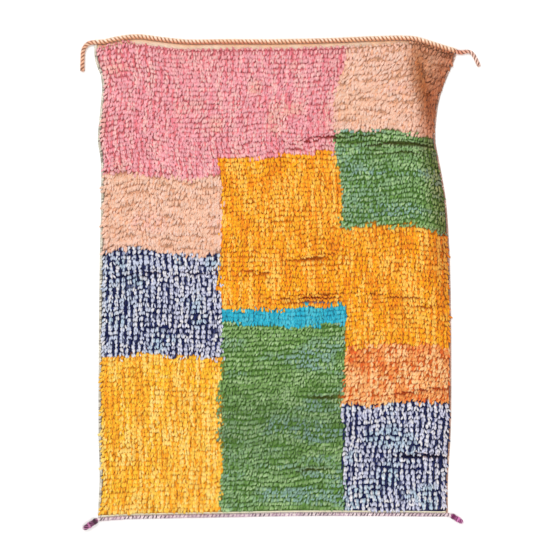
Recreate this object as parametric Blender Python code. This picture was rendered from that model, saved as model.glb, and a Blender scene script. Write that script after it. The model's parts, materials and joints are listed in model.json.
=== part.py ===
"""Hand-knotted berber rug, lying flat with its pile up. Metres, +Z up, +Y towards the corded head end.

The rug is one woven piece with knotted pile and a plain woven strip at each end. A two-ply cord runs along
its head and hangs free past both corners, a wrapped binding runs down each side, an overcast edge closes its
foot, and a bound tassel stub sits at each foot corner. The origin is on the underside, below the middle of the
box of all but the free cord ends.
"""

from collections import namedtuple

import bmesh
import bpy
import numpy as np

MM = 0.001

# Driving sizes of the rug
WIDTH = 1.090
LENGTH = 1.482
PILE_HEIGHT = 0.0135
STRIP_HEIGHT = 0.004
GAP = 0.0003

# Where the middle of the drawing lies, so that the box of the rug is centred on the origin
MIDDLE_X = 0.0062
MIDDLE_Y = 0.01141

# Head cord and its free ends
CORD_DIAMETER = 0.015
TAIL_LEFT_DIAMETER = 0.014
TAIL_RIGHT_DIAMETER = 0.012
CORD_LEAD = 0.024
RINGS_IN_A_LEAD = 6
CORD_SIDES = 8
# The cord's plies reach over the thin woven strip, so its line is a little less than its radius from the cloth
CORD_STAND_OFF = 0.0070
# Shares of a cord's diameter: how wide one ply is, and how high the cord's middle lies over the surface
PLY_SHARE = 0.61
CORD_LIFT = 0.46
ROUTE_POINTS = 100

# Side bindings, foot edge and plain woven strips
BINDING_LEFT_WIDTH = 0.010
BINDING_RIGHT_WIDTH = 0.007
BINDING_HEIGHT = 0.008
FOOT_EDGE_WIDTH = 0.014
FOOT_EDGE_HEIGHT = 0.0095
FOOT_EDGE_STEP = 0.0155
FOOT_STRIP = 0.005
HEAD_STRIP = 0.017

# Knotted pile: ribs along the rug, each one column of knots
RIBS = 62
RIB_RELIEF = 0.0032
PILE_SLOPE = 0.005
SIDE_DROP = 0.0045
WAVE_HEIGHT = 0.0009
UNEVENNESS = 0.0004

# How far each side strays outwards from a straight edge, in mm, at shares of the length from the foot
Side = namedtuple("Side", "up left right")
SIDES = (
    Side(-0.02, 3, -9),
    Side(0.017, 3, -9),
    Side(0.080, -1.5, -9),
    Side(0.163, 1.5, -1.5),
    Side(0.331, 1.5, 1.5),
    Side(0.456, 0, 0),
    Side(0.582, -3, -6),
    Side(0.665, -6, -15.5),
    Side(0.707, -6, -25),
    Side(0.749, -4.5, -37),
    Side(0.791, 4.5, -48),
    Side(0.833, 0, -45),
    Side(0.874, -6, -36),
    Side(0.916, -8, -15.5),
    Side(0.958, 13, 12),
    Side(1.000, 15, 26),
)

# How far the head cord strays upwards from a straight one, in mm, at shares of the width from the middle
Stray = namedtuple("Stray", "across up")
HEAD_LINE = (
    Stray(-0.530, -9.2),
    Stray(-0.507, -8.6),
    Stray(-0.490, -8.2),
    Stray(-0.463, -1.8),
    Stray(-0.424, 6),
    Stray(-0.390, 8.5),
    Stray(-0.333, 1.5),
    Stray(-0.273, -6),
    Stray(-0.134, -7),
    Stray(0.011, -7),
    Stray(0.173, -3),
    Stray(0.293, 2.5),
    Stray(0.356, 4),
    Stray(0.398, 1.5),
    Stray(0.438, -11),
    Stray(0.478, -25),
    Stray(0.512, -36),
    Stray(0.530, -41),
)
CORD_ENDS = (-0.507, 0.512)

# The same for the outer line of the foot edge
FOOT_LINE = (
    Stray(-0.505, -11),
    Stray(-0.440, -6),
    Stray(-0.293, -1.5),
    Stray(-0.128, 1.5),
    Stray(0.042, 5),
    Stray(0.298, 5),
    Stray(0.510, 3),
)
FOOT_EDGE_ENDS = (-0.501, 0.4975)

# Rows of points across the pile, in millimetres from the middle, closer together at the creases
PILE_ROWS = (
    *(-690, -610, -562, -544, -526, -420, -310, -200, -100, -80, -66, -52, -32, 60, 160, 250),
    *(314, 334, 354, 392, 410, 424, 438, 456, 520, 590, 650, 700),
)

# Creases and soft ridges of the pile in millimetres: middle, length, turn in degrees, half width and rise
Crease = namedtuple("Crease", "x y length turn half_width rise")
CREASES = (
    Crease(118, 432, 205, 6, 13, -3.2),
    Crease(357, 417, 280, -2, 13, -3.0),
    Crease(174, -53, 304, 2, 13, -3.4),
    Crease(425, -68, 232, -6, 13, -2.8),
    Crease(-495, 334, 95, 2, 13, -2.6),
    Crease(443, -544, 170, -2, 13, -2.4),
    Crease(-43, -598, 150, -55, 26, -2.4),
    Crease(428, 648, 175, 96, 13, 5.0),
    Crease(458, 640, 200, 98, 15, -4.0),
)

# Free cord ends as routes in millimetres from the middle, from the corner outwards
TAIL_LEFT_ROUTE = (
    (-552.96, 732.39),
    (-560, 732.24),
    (-568, 731.6),
    (-577, 728.6),
    (-585, 722.4),
    (-591, 713.5),
    (-594.2, 702.5),
    (-595.2, 690),
    (-595.5, 676),
    (-595.8, 662),
    (-596, 646),
)
TAIL_RIGHT_ROUTE = (
    (558.40, 704.91),
    (568, 702.06),
    (578, 701.2),
    (588, 702.8),
    (598, 703.8),
    (607, 700.8),
    (614.5, 693.5),
    (620.5, 683.5),
    (626, 672.5),
    (631, 661.5),
)

# Bound stubs at the foot corners: side, length, heading in degrees, greatest radius in metres
Tassel = namedtuple("Tassel", "name side length heading radius")
TASSELS = (
    Tassel("tassel_left", -1, 0.056, 213, 0.0088),
    Tassel("tassel_right", 1, 0.046, -32, 0.0080),
)
TASSEL_PROFILE = (0.50, 0.82, 0.90, 1.0, 0.95, 1.0, 0.94, 1.0, 0.93, 0.97, 0.88, 0.62)
TASSEL_SIDES = 10
TASSEL_LIFT = 0.92

WOOL_ROUGHNESS = 0.92


def eased(at, places, values):
    """Value at each place of a smooth curve through the points: cubic Hermite pieces, np.gradient's slopes."""
    places = np.asarray(places, float)
    values = np.asarray(values, float)
    slopes = np.gradient(values, places)
    i = np.clip(np.searchsorted(places, at) - 1, 0, len(places) - 2)
    span = places[i + 1] - places[i]
    t = (at - places[i]) / span
    start = (1 + 2 * t) * (1 - t) ** 2 * values[i] + t * (1 - t) ** 2 * span * slopes[i]
    end = t * t * (3 - 2 * t) * values[i + 1] + t * t * (t - 1) * span * slopes[i + 1]
    return start + end


def column(table, name):
    """One named column of a table as an array."""
    return np.array([getattr(row, name) for row in table])


def side_edge(y, side):
    """X of the rug's outer edge at height y, for side -1, the left one, or 1, the right one."""
    stray = column(SIDES, "left" if side < 0 else "right")
    return side * (WIDTH / 2 + MM * eased(y / LENGTH + 0.5, column(SIDES, "up"), stray))


def cord_line(x):
    """Y of the head cord's middle line at x."""
    return LENGTH / 2 + MM * eased(x / WIDTH, column(HEAD_LINE, "across"), column(HEAD_LINE, "up"))


def foot_line(x):
    """Y of the foot edge's outer line at x."""
    return -LENGTH / 2 + MM * eased(x / WIDTH, column(FOOT_LINE, "across"), column(FOOT_LINE, "up"))


def slanted(distance, line, at, *which):
    """A distance square to a line, as it measures along the axis that the line strays on."""
    slope = (line(at + MM, *which) - line(at - MM, *which)) / (2 * MM)
    return distance * np.sqrt(1 + slope**2)


def cloth_head(x):
    """Y of the cloth's head edge at x, just below the cord."""
    return cord_line(x) - slanted(CORD_STAND_OFF, cord_line, x)


def cloth_foot(x):
    """Y of the cloth's foot edge at x, just above the overcast edge."""
    return foot_line(x) + slanted(FOOT_EDGE_WIDTH + GAP, foot_line, x)


def cloth_side(y, side):
    """X of the cloth's side edge at y, just inside the binding."""
    width = BINDING_LEFT_WIDTH if side < 0 else BINDING_RIGHT_WIDTH
    return side_edge(y, side) - side * slanted(width + GAP, side_edge, y, side)


def woven_place(u, v):
    """Place on the cloth at shares u of its width and v of its length, which follow its wavy edges."""
    x = (u - 0.5) * WIDTH
    for _ in range(3):
        y = cloth_foot(x) + v * (cloth_head(x) - cloth_foot(x))
        left = cloth_side(y, -1)
        x = left + u * (cloth_side(y, 1) - left)
    return x, y


def crease_relief(x, y):
    """Rise of the pile at each place: a soft bell across each crease that fades out at its ends."""
    rise = np.zeros_like(x)
    for crease in CREASES:
        turn = np.radians(crease.turn)
        dx = x / MM - crease.x
        dy = y / MM - crease.y
        along = (dx * np.cos(turn) + dy * np.sin(turn)) / (crease.length / 2)
        across = (dy * np.cos(turn) - dx * np.sin(turn)) / crease.half_width
        rise += MM * crease.rise * np.exp(-(across**2)) * np.exp(-(along**4))
    return rise


def material(name, colour):
    """A Principled material in one colour, for wool."""
    wool = bpy.data.materials.new(name)
    wool.use_nodes = True
    shader = wool.node_tree.nodes["Principled BSDF"]
    shader.inputs["Base Color"].default_value = (*colour, 1)
    shader.inputs["Roughness"].default_value = WOOL_ROUGHNESS
    shader.inputs["Metallic"].default_value = 0
    return wool


def add_object(mesh, wool):
    """Puts a mesh into the rug's collection, with its material and at the rug's place."""
    piece = bpy.data.objects.new(mesh.name, mesh)
    mesh.materials.append(wool)
    piece.location = (MIDDLE_X, MIDDLE_Y, 0)
    rug_collection.objects.link(piece)
    return piece


def mesh_from(bm, name):
    """Turns a bmesh with outward faces into a mesh datablock."""
    bmesh.ops.recalc_face_normals(bm, faces=bm.faces)
    mesh = bpy.data.meshes.new(name)
    bm.to_mesh(mesh)
    bm.free()
    return mesh


def row_shares():
    """The rows of points across the cloth, as shares of its length from the foot."""
    foot_rows = np.array([0, FOOT_STRIP, FOOT_STRIP + PILE_SLOPE]) / LENGTH
    head_rows = 1 - np.array([HEAD_STRIP + PILE_SLOPE, HEAD_STRIP, 0]) / LENGTH
    return np.concatenate([foot_rows, np.array(PILE_ROWS) * MM / LENGTH + 0.5, head_rows])


def make_cloth():
    """Woven ground and pile as one slab: a grid on the pile's top, walls round it, one flat face below."""
    rows = row_shares()
    columns = 2 * RIBS
    bm = bmesh.new()
    bmesh.ops.create_grid(bm, x_segments=columns, y_segments=len(rows) - 1, size=0.5)
    flat = np.array([point.co[:2] for point in bm.verts]) + 0.5
    across = np.rint(flat[:, 0] * columns).astype(int)
    up = np.rint(flat[:, 1] * (len(rows) - 1)).astype(int)
    x, y = woven_place(across / columns, rows[up])
    wave = WAVE_HEIGHT * (np.sin(9 * x + 4 * y) + np.sin(13 * y - 7 * x + 1.3)) / 2
    ribs = RIB_RELIEF / 2 * np.where(across % 2, 1, -1)
    uneven = np.random.default_rng(5).normal(0, UNEVENNESS, (len(rows), columns + 1))[up, across]
    rim = SIDE_DROP * ((across == 0) | (across == columns))
    pile = PILE_HEIGHT + wave + ribs + uneven - rim + crease_relief(x, y)
    in_strip = (up < 2) | (up > len(rows) - 3)
    height = np.where(in_strip, STRIP_HEIGHT, pile)
    for point, place in zip(bm.verts, np.stack([x, y, height], 1)):
        point.co = place
    rim_edges = [edge for edge in bm.edges if edge.is_boundary]
    walls = bmesh.ops.extrude_edge_only(bm, edges=rim_edges)["geom"]
    for point in walls:
        if isinstance(point, bmesh.types.BMVert):
            point.co.z = 0
    lower_edges = [edge for edge in bm.edges if edge.is_boundary]
    bmesh.ops.holes_fill(bm, edges=lower_edges, sides=0)
    return add_object(mesh_from(bm, "rug_body"), material("rug_pile", (0.72, 0.46, 0.16)))


def even_route(points, step):
    """Points about a step apart along a smooth curve through the given ones, and how far along it they are."""
    points = np.asarray(points, float)
    reach = np.concatenate([[0], np.cumsum(np.linalg.norm(np.diff(points, axis=0), axis=1))])
    fine = np.linspace(0, reach[-1], 40 * len(points))
    curve = np.stack([eased(fine, reach, points[:, 0]), eased(fine, reach, points[:, 1])], 1)
    walked = np.concatenate([[0], np.cumsum(np.linalg.norm(np.diff(curve, axis=0), axis=1))])
    along = np.linspace(0, walked[-1], max(2, round(walked[-1] / step) + 1))
    even = np.stack([np.interp(along, walked, curve[:, 0]), np.interp(along, walked, curve[:, 1])], 1)
    return even, along


def square_to(route):
    """Level directions square to a route, to its left."""
    heading = np.gradient(route, axis=0)
    heading /= np.linalg.norm(heading, axis=1)[:, None]
    return np.stack([-heading[:, 1], heading[:, 0]], 1)


def loft(name, route, beside, across, up, wool):
    """Closed tube along a level route: ring k's points are across[k] beside the route and up[k] over the
    surface."""
    flat = route[:, None, :] + across[:, :, None] * beside[:, None, :]
    points = np.concatenate([flat, np.maximum(up, 0)[:, :, None]], 2)
    rings, sides = up.shape
    bm = bmesh.new()
    loops = [[bm.verts.new(place) for place in ring] for ring in points]
    for low, high in zip(loops[:-1], loops[1:]):
        for i in range(sides):
            j = (i + 1) % sides
            bm.faces.new((low[i], low[j], high[j], high[i]))
    bm.faces.new(loops[0])
    bm.faces.new(loops[-1])
    return add_object(mesh_from(bm, name), wool)


def make_cord(name, route_points, diameter, wool):
    """Two-ply cord: its section is the outline of two touching plies, r = b|cos a| + sqrt(c^2 - b^2 sin^2 a),
    where b is half the distance between the plies and c their radius. It turns once in every lead."""
    step = CORD_LEAD / RINGS_IN_A_LEAD
    route, along = even_route(route_points, step)
    ply = PLY_SHARE * diameter / 2
    apart = diameter / 2 - ply
    angle = 2 * np.pi * np.arange(CORD_SIDES) / CORD_SIDES
    radius = apart * np.abs(np.cos(angle)) + np.sqrt(ply**2 - (apart * np.sin(angle)) ** 2)
    turned = angle[None, :] + 2 * np.pi * along[:, None] / CORD_LEAD
    across = radius * np.cos(turned)
    up = CORD_LIFT * diameter + radius * np.sin(turned)
    return loft(name, route, square_to(route), across, up, wool)


def make_head_cord():
    """The cord along the head, from corner to corner."""
    x = np.linspace(*CORD_ENDS, ROUTE_POINTS) * WIDTH
    line = np.stack([x, cord_line(x)], 1)
    return make_cord("head_cord", line, CORD_DIAMETER, material("cord_wool", (0.83, 0.46, 0.33)))


def rounded_strip(name, route, beside, widths, height, wool):
    """Yarn-wrapped edge with a flat underside and a rounded top, a little fuller at every other ring."""
    outline_across = np.array([-0.42, -0.5, -0.33, 0, 0.33, 0.5, 0.42])
    outline_up = np.array([0, 0.4, 0.86, 1, 0.86, 0.4, 0])
    full = np.where(np.arange(len(route)) % 2, 1.0, 0.94)[:, None]
    return loft(name, route, beside, widths[:, None] * outline_across, height * outline_up * full, wool)


def make_bindings():
    """The wrapped bindings, from the foot edge up to the head cord, with a ring at each row of the cloth."""
    for name, side, width, colour in (
        ("selvage_left", -1, BINDING_LEFT_WIDTH, (0.80, 0.68, 0.50)),
        ("selvage_right", 1, BINDING_RIGHT_WIDTH, (0.55, 0.36, 0.24)),
    ):
        y = woven_place((side + 1) / 2, row_shares())[1]
        outer = side_edge(y[-1], side)
        y[-1] = cord_line(outer) - slanted(CORD_DIAMETER / 2 + GAP, cord_line, outer)
        widths = slanted(width, side_edge, y, side)
        route = np.stack([side_edge(y, side) - side * widths / 2, y], 1)
        beside = np.tile([-1.0, 0.0], (len(y), 1))
        rounded_strip(name, route, beside, widths, BINDING_HEIGHT, material(name, colour))


def make_foot_edge():
    """The overcast edge along the foot."""
    x = np.linspace(*FOOT_EDGE_ENDS, ROUTE_POINTS) * WIDTH
    line = np.stack([x, foot_line(x) + FOOT_EDGE_WIDTH / 2], 1)
    route, _ = even_route(line, FOOT_EDGE_STEP)
    wool = material("foot_wool", (0.80, 0.62, 0.66))
    widths = np.full(len(route), FOOT_EDGE_WIDTH)
    return rounded_strip("foot_edge", route, square_to(route), widths, FOOT_EDGE_HEIGHT, wool)


def make_tassels():
    """The bound stubs, which lie on the surface and swell between the turns of their binding."""
    profile = np.array(TASSEL_PROFILE)
    angle = 2 * np.pi * np.arange(TASSEL_SIDES) / TASSEL_SIDES
    for stub, colour in zip(TASSELS, ((0.16, 0.02, 0.09), (0.43, 0.05, 0.30))):
        end_x = WIDTH * FOOT_EDGE_ENDS[0 if stub.side < 0 else 1]
        end_y = foot_line(end_x) + FOOT_EDGE_WIDTH / 2
        heading = np.radians(stub.heading)
        ahead = np.array([np.cos(heading), np.sin(heading)])
        # The root's round end clears the foot edge's flat one.
        clear = GAP + stub.radius * profile[0] * abs(ahead[1])
        root = np.array([end_x + stub.side * clear, end_y])
        route = root + np.linspace(0, stub.length, len(profile))[:, None] * ahead
        radius = stub.radius * profile[:, None]
        across = radius * np.cos(angle)
        up = radius * (TASSEL_LIFT + np.sin(angle))
        loft(stub.name, route, square_to(route), across, up, material(stub.name, colour))


for old in list(bpy.data.objects):
    bpy.data.objects.remove(old)
rug_collection = bpy.data.collections.new("berber_rug")
bpy.context.scene.collection.children.link(rug_collection)

make_cloth()
make_head_cord()
tail_wool = material("tail_wool", (0.78, 0.38, 0.26))
make_cord("tail_left", np.array(TAIL_LEFT_ROUTE) * MM, TAIL_LEFT_DIAMETER, tail_wool)
make_cord("tail_right", np.array(TAIL_RIGHT_ROUTE) * MM, TAIL_RIGHT_DIAMETER, tail_wool)
make_bindings()
make_foot_edge()
make_tassels()
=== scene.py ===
# %% [markdown]
# # A hand-knotted berber rug
# The rug is a wool cloth whose face is thousands of knotted yarn ends. This lesson dresses its plain
# solids: first the camera and the loose cord ends, then the edges, and last the pile itself, lock by lock.
# Every shape is worked out with numpy as a whole array, so a change of one size changes the whole rug.

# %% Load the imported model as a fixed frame
import json
from collections import namedtuple

import bpy
import numpy as np
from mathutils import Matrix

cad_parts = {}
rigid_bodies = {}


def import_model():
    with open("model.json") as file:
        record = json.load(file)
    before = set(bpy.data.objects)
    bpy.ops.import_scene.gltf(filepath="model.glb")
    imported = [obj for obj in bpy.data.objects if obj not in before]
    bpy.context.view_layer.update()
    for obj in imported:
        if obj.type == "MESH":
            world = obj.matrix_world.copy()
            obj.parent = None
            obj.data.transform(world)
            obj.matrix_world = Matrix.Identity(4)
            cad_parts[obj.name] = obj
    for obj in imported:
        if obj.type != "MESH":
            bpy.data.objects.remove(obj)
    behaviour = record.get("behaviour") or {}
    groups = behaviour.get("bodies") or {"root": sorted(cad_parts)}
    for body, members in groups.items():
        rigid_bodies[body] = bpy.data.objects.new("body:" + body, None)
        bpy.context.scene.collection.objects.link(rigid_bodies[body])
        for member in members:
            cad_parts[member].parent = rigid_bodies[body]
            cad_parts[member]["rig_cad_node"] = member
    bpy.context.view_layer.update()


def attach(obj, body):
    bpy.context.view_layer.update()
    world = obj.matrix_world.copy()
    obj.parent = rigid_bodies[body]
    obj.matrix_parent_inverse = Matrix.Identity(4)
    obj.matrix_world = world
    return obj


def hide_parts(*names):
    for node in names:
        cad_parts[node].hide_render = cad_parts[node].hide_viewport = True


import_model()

MM = 0.001

# %% [markdown]
# ## The sizes of the solids
# The rug is 1.09 m wide and 1.48 m long, with wavy edges. The same few sizes and short tables as in the
# source of the solids give its outline here, so that each yarn lands on the solid that it dresses. Tables
# are in millimetres.

# %% Driving sizes, in metres
WIDTH = 1.090
LENGTH = 1.482
PILE_HEIGHT = 0.0135
STRIP_HEIGHT = 0.004
GAP = 0.0003
MIDDLE = np.array([0.0062, 0.01141, 0])
CORD_DIAMETER = 0.015
CORD_LEAD = 0.024
CORD_STAND_OFF = 0.0070
PLY_SHARE = 0.61
CORD_LIFT = 0.46
BINDING_WIDTHS = {-1: 0.010, 1: 0.007}
BINDING_HEIGHT = 0.008
FOOT_EDGE_WIDTH = 0.014
FOOT_EDGE_HEIGHT = 0.0095
FOOT_STRIP = 0.005
HEAD_STRIP = 0.017
RIBS = 62
RIB_RELIEF = 0.0032
WAVE_HEIGHT = 0.0009

# %% How far the edges stray from straight lines, and the creases of the pile
Side = namedtuple("Side", "up left right")
SIDES = (
    Side(-0.02, 3, -9), Side(0.017, 3, -9), Side(0.080, -1.5, -9), Side(0.163, 1.5, -1.5),
    Side(0.331, 1.5, 1.5), Side(0.456, 0, 0), Side(0.582, -3, -6), Side(0.665, -6, -15.5),
    Side(0.707, -6, -25), Side(0.749, -4.5, -37), Side(0.791, 4.5, -48), Side(0.833, 0, -45),
    Side(0.874, -6, -36), Side(0.916, -8, -15.5), Side(0.958, 13, 12), Side(1.000, 15, 26),
)
Stray = namedtuple("Stray", "across up")
HEAD_LINE = (
    Stray(-0.530, -9.2), Stray(-0.507, -8.6), Stray(-0.490, -8.2), Stray(-0.463, -1.8), Stray(-0.424, 6),
    Stray(-0.390, 8.5), Stray(-0.333, 1.5), Stray(-0.273, -6), Stray(-0.134, -7), Stray(0.011, -7),
    Stray(0.173, -3), Stray(0.293, 2.5), Stray(0.356, 4), Stray(0.398, 1.5), Stray(0.438, -11),
    Stray(0.478, -25), Stray(0.512, -36), Stray(0.530, -41),
)
CORD_ENDS = (-0.507, 0.512)
FOOT_LINE = (
    Stray(-0.505, -11), Stray(-0.440, -6), Stray(-0.293, -1.5), Stray(-0.128, 1.5), Stray(0.042, 5),
    Stray(0.298, 5), Stray(0.510, 3),
)
FOOT_EDGE_ENDS = (-0.501, 0.4975)
Crease = namedtuple("Crease", "x y length turn half_width rise")
CREASES = (
    Crease(118, 432, 205, 6, 13, -3.2), Crease(357, 417, 280, -2, 13, -3.0),
    Crease(174, -53, 304, 2, 13, -3.4), Crease(425, -68, 232, -6, 13, -2.8),
    Crease(-495, 334, 95, 2, 13, -2.6), Crease(443, -544, 170, -2, 13, -2.4),
    Crease(-43, -598, 150, -55, 26, -2.4), Crease(428, 648, 175, 96, 13, 5.0),
    Crease(458, 640, 200, 98, 15, -4.0),
)
print(len(SIDES), "stations down the sides,", len(HEAD_LINE), "along the head,", len(CREASES), "creases")


# %% Ramps and bells
def ramp(at, start, stretch):
    """Rises evenly from 0 at start to 1 a stretch further on. A stretch below zero runs the other way."""
    return np.clip((at - start) / stretch, 0, 1)


def smooth(share):
    """The smoothstep 3 t^2 - 2 t^3 of a share t from 0 to 1."""
    return share * share * (3 - 2 * share)


def bell(distance, size, power=2):
    """exp(-|distance / size|^power): 1 in the middle, and a higher power is flatter there and steeper
    outside."""
    return np.exp(-(np.abs(distance / size) ** power))


def mixed(first, second, share):
    """The first value where share is 0, the second where it is 1, and a mean of both between."""
    return first * (1 - share) + second * share


# %% Curves through the tables
def eased(at, places, values):
    """Value at each place of a smooth curve through the points: cubic Hermite pieces, sloped as np.gradient
    says."""
    places = np.asarray(places, float)
    values = np.asarray(values, float)
    slopes = np.gradient(values, places)
    i = np.clip(np.searchsorted(places, at) - 1, 0, len(places) - 2)
    span = places[i + 1] - places[i]
    t = (at - places[i]) / span
    start = (1 + 2 * t) * (1 - t) ** 2 * values[i] + t * (1 - t) ** 2 * span * slopes[i]
    end = t * t * (3 - 2 * t) * values[i + 1] + t * t * (t - 1) * span * slopes[i + 1]
    return start + end


def column(table, name):
    """One named column of a table as an array."""
    return np.array([getattr(row, name) for row in table])


def side_edge(y, side):
    """X of the rug's outer edge at height y, for side -1, the left one, or 1, the right one."""
    stray = column(SIDES, "left" if side < 0 else "right")
    return side * (WIDTH / 2 + MM * eased(y / LENGTH + 0.5, column(SIDES, "up"), stray))


def cord_line(x):
    """Y of the head cord's middle line at x."""
    return LENGTH / 2 + MM * eased(x / WIDTH, column(HEAD_LINE, "across"), column(HEAD_LINE, "up"))


def foot_line(x):
    """Y of the foot edge's outer line at x."""
    return -LENGTH / 2 + MM * eased(x / WIDTH, column(FOOT_LINE, "across"), column(FOOT_LINE, "up"))


def slanted(distance, line, at, *which):
    """A distance square to a line, as it measures along the axis that the line strays on."""
    slope = (line(at + MM, *which) - line(at - MM, *which)) / (2 * MM)
    return distance * np.sqrt(1 + slope**2)


# %% Places on the woven cloth
def cloth_head(x):
    """Y of the cloth's head edge at x, just below the cord."""
    return cord_line(x) - slanted(CORD_STAND_OFF, cord_line, x)


def cloth_foot(x):
    """Y of the cloth's foot edge at x, just above the overcast edge."""
    return foot_line(x) + slanted(FOOT_EDGE_WIDTH + GAP, foot_line, x)


def cloth_side(y, side):
    """X of the cloth's side edge at y, just inside the binding."""
    return side_edge(y, side) - side * slanted(BINDING_WIDTHS[side] + GAP, side_edge, y, side)


def woven_place(u, v):
    """Place on the cloth at shares u of its width and v of its length. Three rounds settle it on the wavy
    edges."""
    x = (u - 0.5) * WIDTH
    for _ in range(3):
        y = cloth_foot(x) + v * (cloth_head(x) - cloth_foot(x))
        left = cloth_side(y, -1)
        x = left + u * (cloth_side(y, 1) - left)
    return x, y


corner_x, corner_y = woven_place(np.array([0, 1, 0, 1.0]), np.array([0, 0, 1, 1.0]))
print("cloth corners in mm:", np.round(np.stack([corner_x, corner_y], 1) / MM).tolist())


# %% Waves and creases in the face of the pile
WAVES = ((9, 4, 0), (-7, 13, 1.3))


def crease_shape(x, y, table=CREASES, sharpness=2):
    """For each crease, exp(-|across|^sharpness) * exp(-along^4): a bell over its line that fades at its
    ends."""
    bells = []
    for crease in table:
        turn = np.radians(crease.turn)
        dx = x / MM - crease.x
        dy = y / MM - crease.y
        along = bell(dx * np.cos(turn) + dy * np.sin(turn), crease.length / 2, 4)
        bells.append(bell(dy * np.cos(turn) - dx * np.sin(turn), crease.half_width, sharpness) * along)
    return np.array(bells)


def face_height(x, y):
    """Height of the pile's face without its ribs: the pile, two slow waves of sin(a x + b y + phase) and
    the rise of the creases."""
    waves = sum(np.sin(a * x + b * y + phase) for a, b, phase in WAVES)
    wave = WAVE_HEIGHT * waves / 2
    return PILE_HEIGHT + wave + MM * np.tensordot(column(CREASES, "rise"), crease_shape(x, y), 1)


# %% Rows of the pile that have opened
# Most lie in the creases and a few beside them. The rise says how far a row has opened, from 0 to 1.
OPENING_HALF = 7.5
OPENINGS = tuple(
    Crease(x, y, length, turn, OPENING_HALF, depth)
    for x, y, length, turn, depth in (
        (118, 432, 225, 6, 1.0), (100, 405, 130, 3, 0.7), (245, 447, 200, 1, 0.7),
        (357, 417, 300, -2, 1.0), (380, 390, 190, -1, 0.7), (174, -53, 320, 2, 1.0),
        (165, -67, 290, 2, 0.9), (387, -57, 150, -3, 0.6), (412, -80, 200, -2, 1.0),
        (119, 66, 165, 8, 0.8), (-56, 20, 120, 0, 0.8), (-350, 16, 300, 1, 0.6),
        (-495, 334, 100, 2, 1.0), (152, -365, 95, 0, 0.9), (450, -347, 190, 7, 0.9),
        (443, -544, 170, -2, 1.0), (108, -589, 115, 3, 0.9),
    )
)


def opened(x, y):
    """How far two rows of the pile have opened at a place, 0 to 1: the greatest bell of the table, times
    its depth. The sixth power makes the bells flat on top and one row wide."""
    bells = crease_shape(x, y, OPENINGS, sharpness=6)
    return (bells * column(OPENINGS, "rise").reshape((-1,) + (1,) * np.ndim(x))).max(0)


print(len(OPENINGS), "stretches of opened rows")

# %% [markdown]
# ## The camera
# The rug is seen face on, so the camera looks straight down on it from 4 m, where its edges hardly spread.
# A pixel of the picture is 3.1 mm of rug. The plain colour transform keeps the dyes as bright as the
# photographed ones.

# %% Camera straight above the rug
PIXEL = 0.0031
PICTURE = 560
CAMERA_HEIGHT = 4.0
CAMERA_X = 0.0217
CAMERA_Y = 0.0083
SENSOR = 36.0

scene = bpy.context.scene
camera = bpy.data.objects.new("Camera", bpy.data.cameras.new("Camera"))
scene.collection.objects.link(camera)
camera.location = (CAMERA_X, CAMERA_Y, CAMERA_HEIGHT)
camera.data.sensor_width = SENSOR
camera.data.lens = SENSOR * CAMERA_HEIGHT / (PIXEL * PICTURE)
scene.camera = camera
scene.view_settings.view_transform = "Standard"
print("lens in mm:", round(camera.data.lens, 1))

# %% [markdown]
# ## Wool as a material
# Handspun wool is a matt fibre with a soft glow where light grazes it. Its dye sits unevenly, and each yarn
# shows fine streaks that follow its own length. So the finish takes its colour from a colour attribute, one
# shade for each lock, and its streaks from a UV map in millimetres that runs round and along each yarn.


# %% Colours, nodes and finishes
def linear(colour):
    """Linear red, green and blue of an sRGB hex colour: c / 12.92 when dark, else ((c + 0.055) / 1.055) ^
    2.4."""
    c = np.array([int(colour[i : i + 2], 16) for i in (1, 3, 5)]) / 255
    return np.where(c <= 0.04045, c / 12.92, ((c + 0.055) / 1.055) ** 2.4)


def add_node(tree, kind, values=None, links=None, **settings):
    """Adds a shader node. Settings are its properties and values its sockets' own values. Links say what
    feeds its sockets: another node's output, or that node itself, of which the first output in use is
    meant."""
    node = tree.nodes.new("ShaderNode" + kind)
    for name, value in settings.items():
        setattr(node, name, value)
    for name, value in (values or {}).items():
        node.inputs[name].default_value = value
    for name, source in (links or {}).items():
        if isinstance(source, bpy.types.Node):
            source = next(output for output in source.outputs if output.enabled)
        tree.links.new(source, node.inputs[name])
    return node


def new_finish(name, sockets):
    """A material with nodes, with its tree and its shader, whose sockets take the given values."""
    finish = bpy.data.materials.new(name)
    finish.use_nodes = True
    shader = finish.node_tree.nodes["Principled BSDF"]
    for socket, value in sockets.items():
        shader.inputs[socket].default_value = value
    return finish, finish.node_tree, shader


# %% Handspun dyed wool
# Carded by hand and spun thick and thin: matt, a little fuzzy, with fibre streaks that wind round the yarn.
# Sizes are in millimetres.
FIBRE_STREAK = 0.7
FIBRE_LENGTH = 9.0
SPIN_TURN = np.radians(24)
FUZZ = 1.6
FUZZ_DEPTH = 0.6
DYE_PATCH = 14.0
DYE_RANGE = (0.9, 1.08)
WOOL_SOCKETS = {"Roughness": 0.9, "IOR": 1.54, "Specular IOR Level": 0.2, "Sheen Roughness": 0.55}


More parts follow.
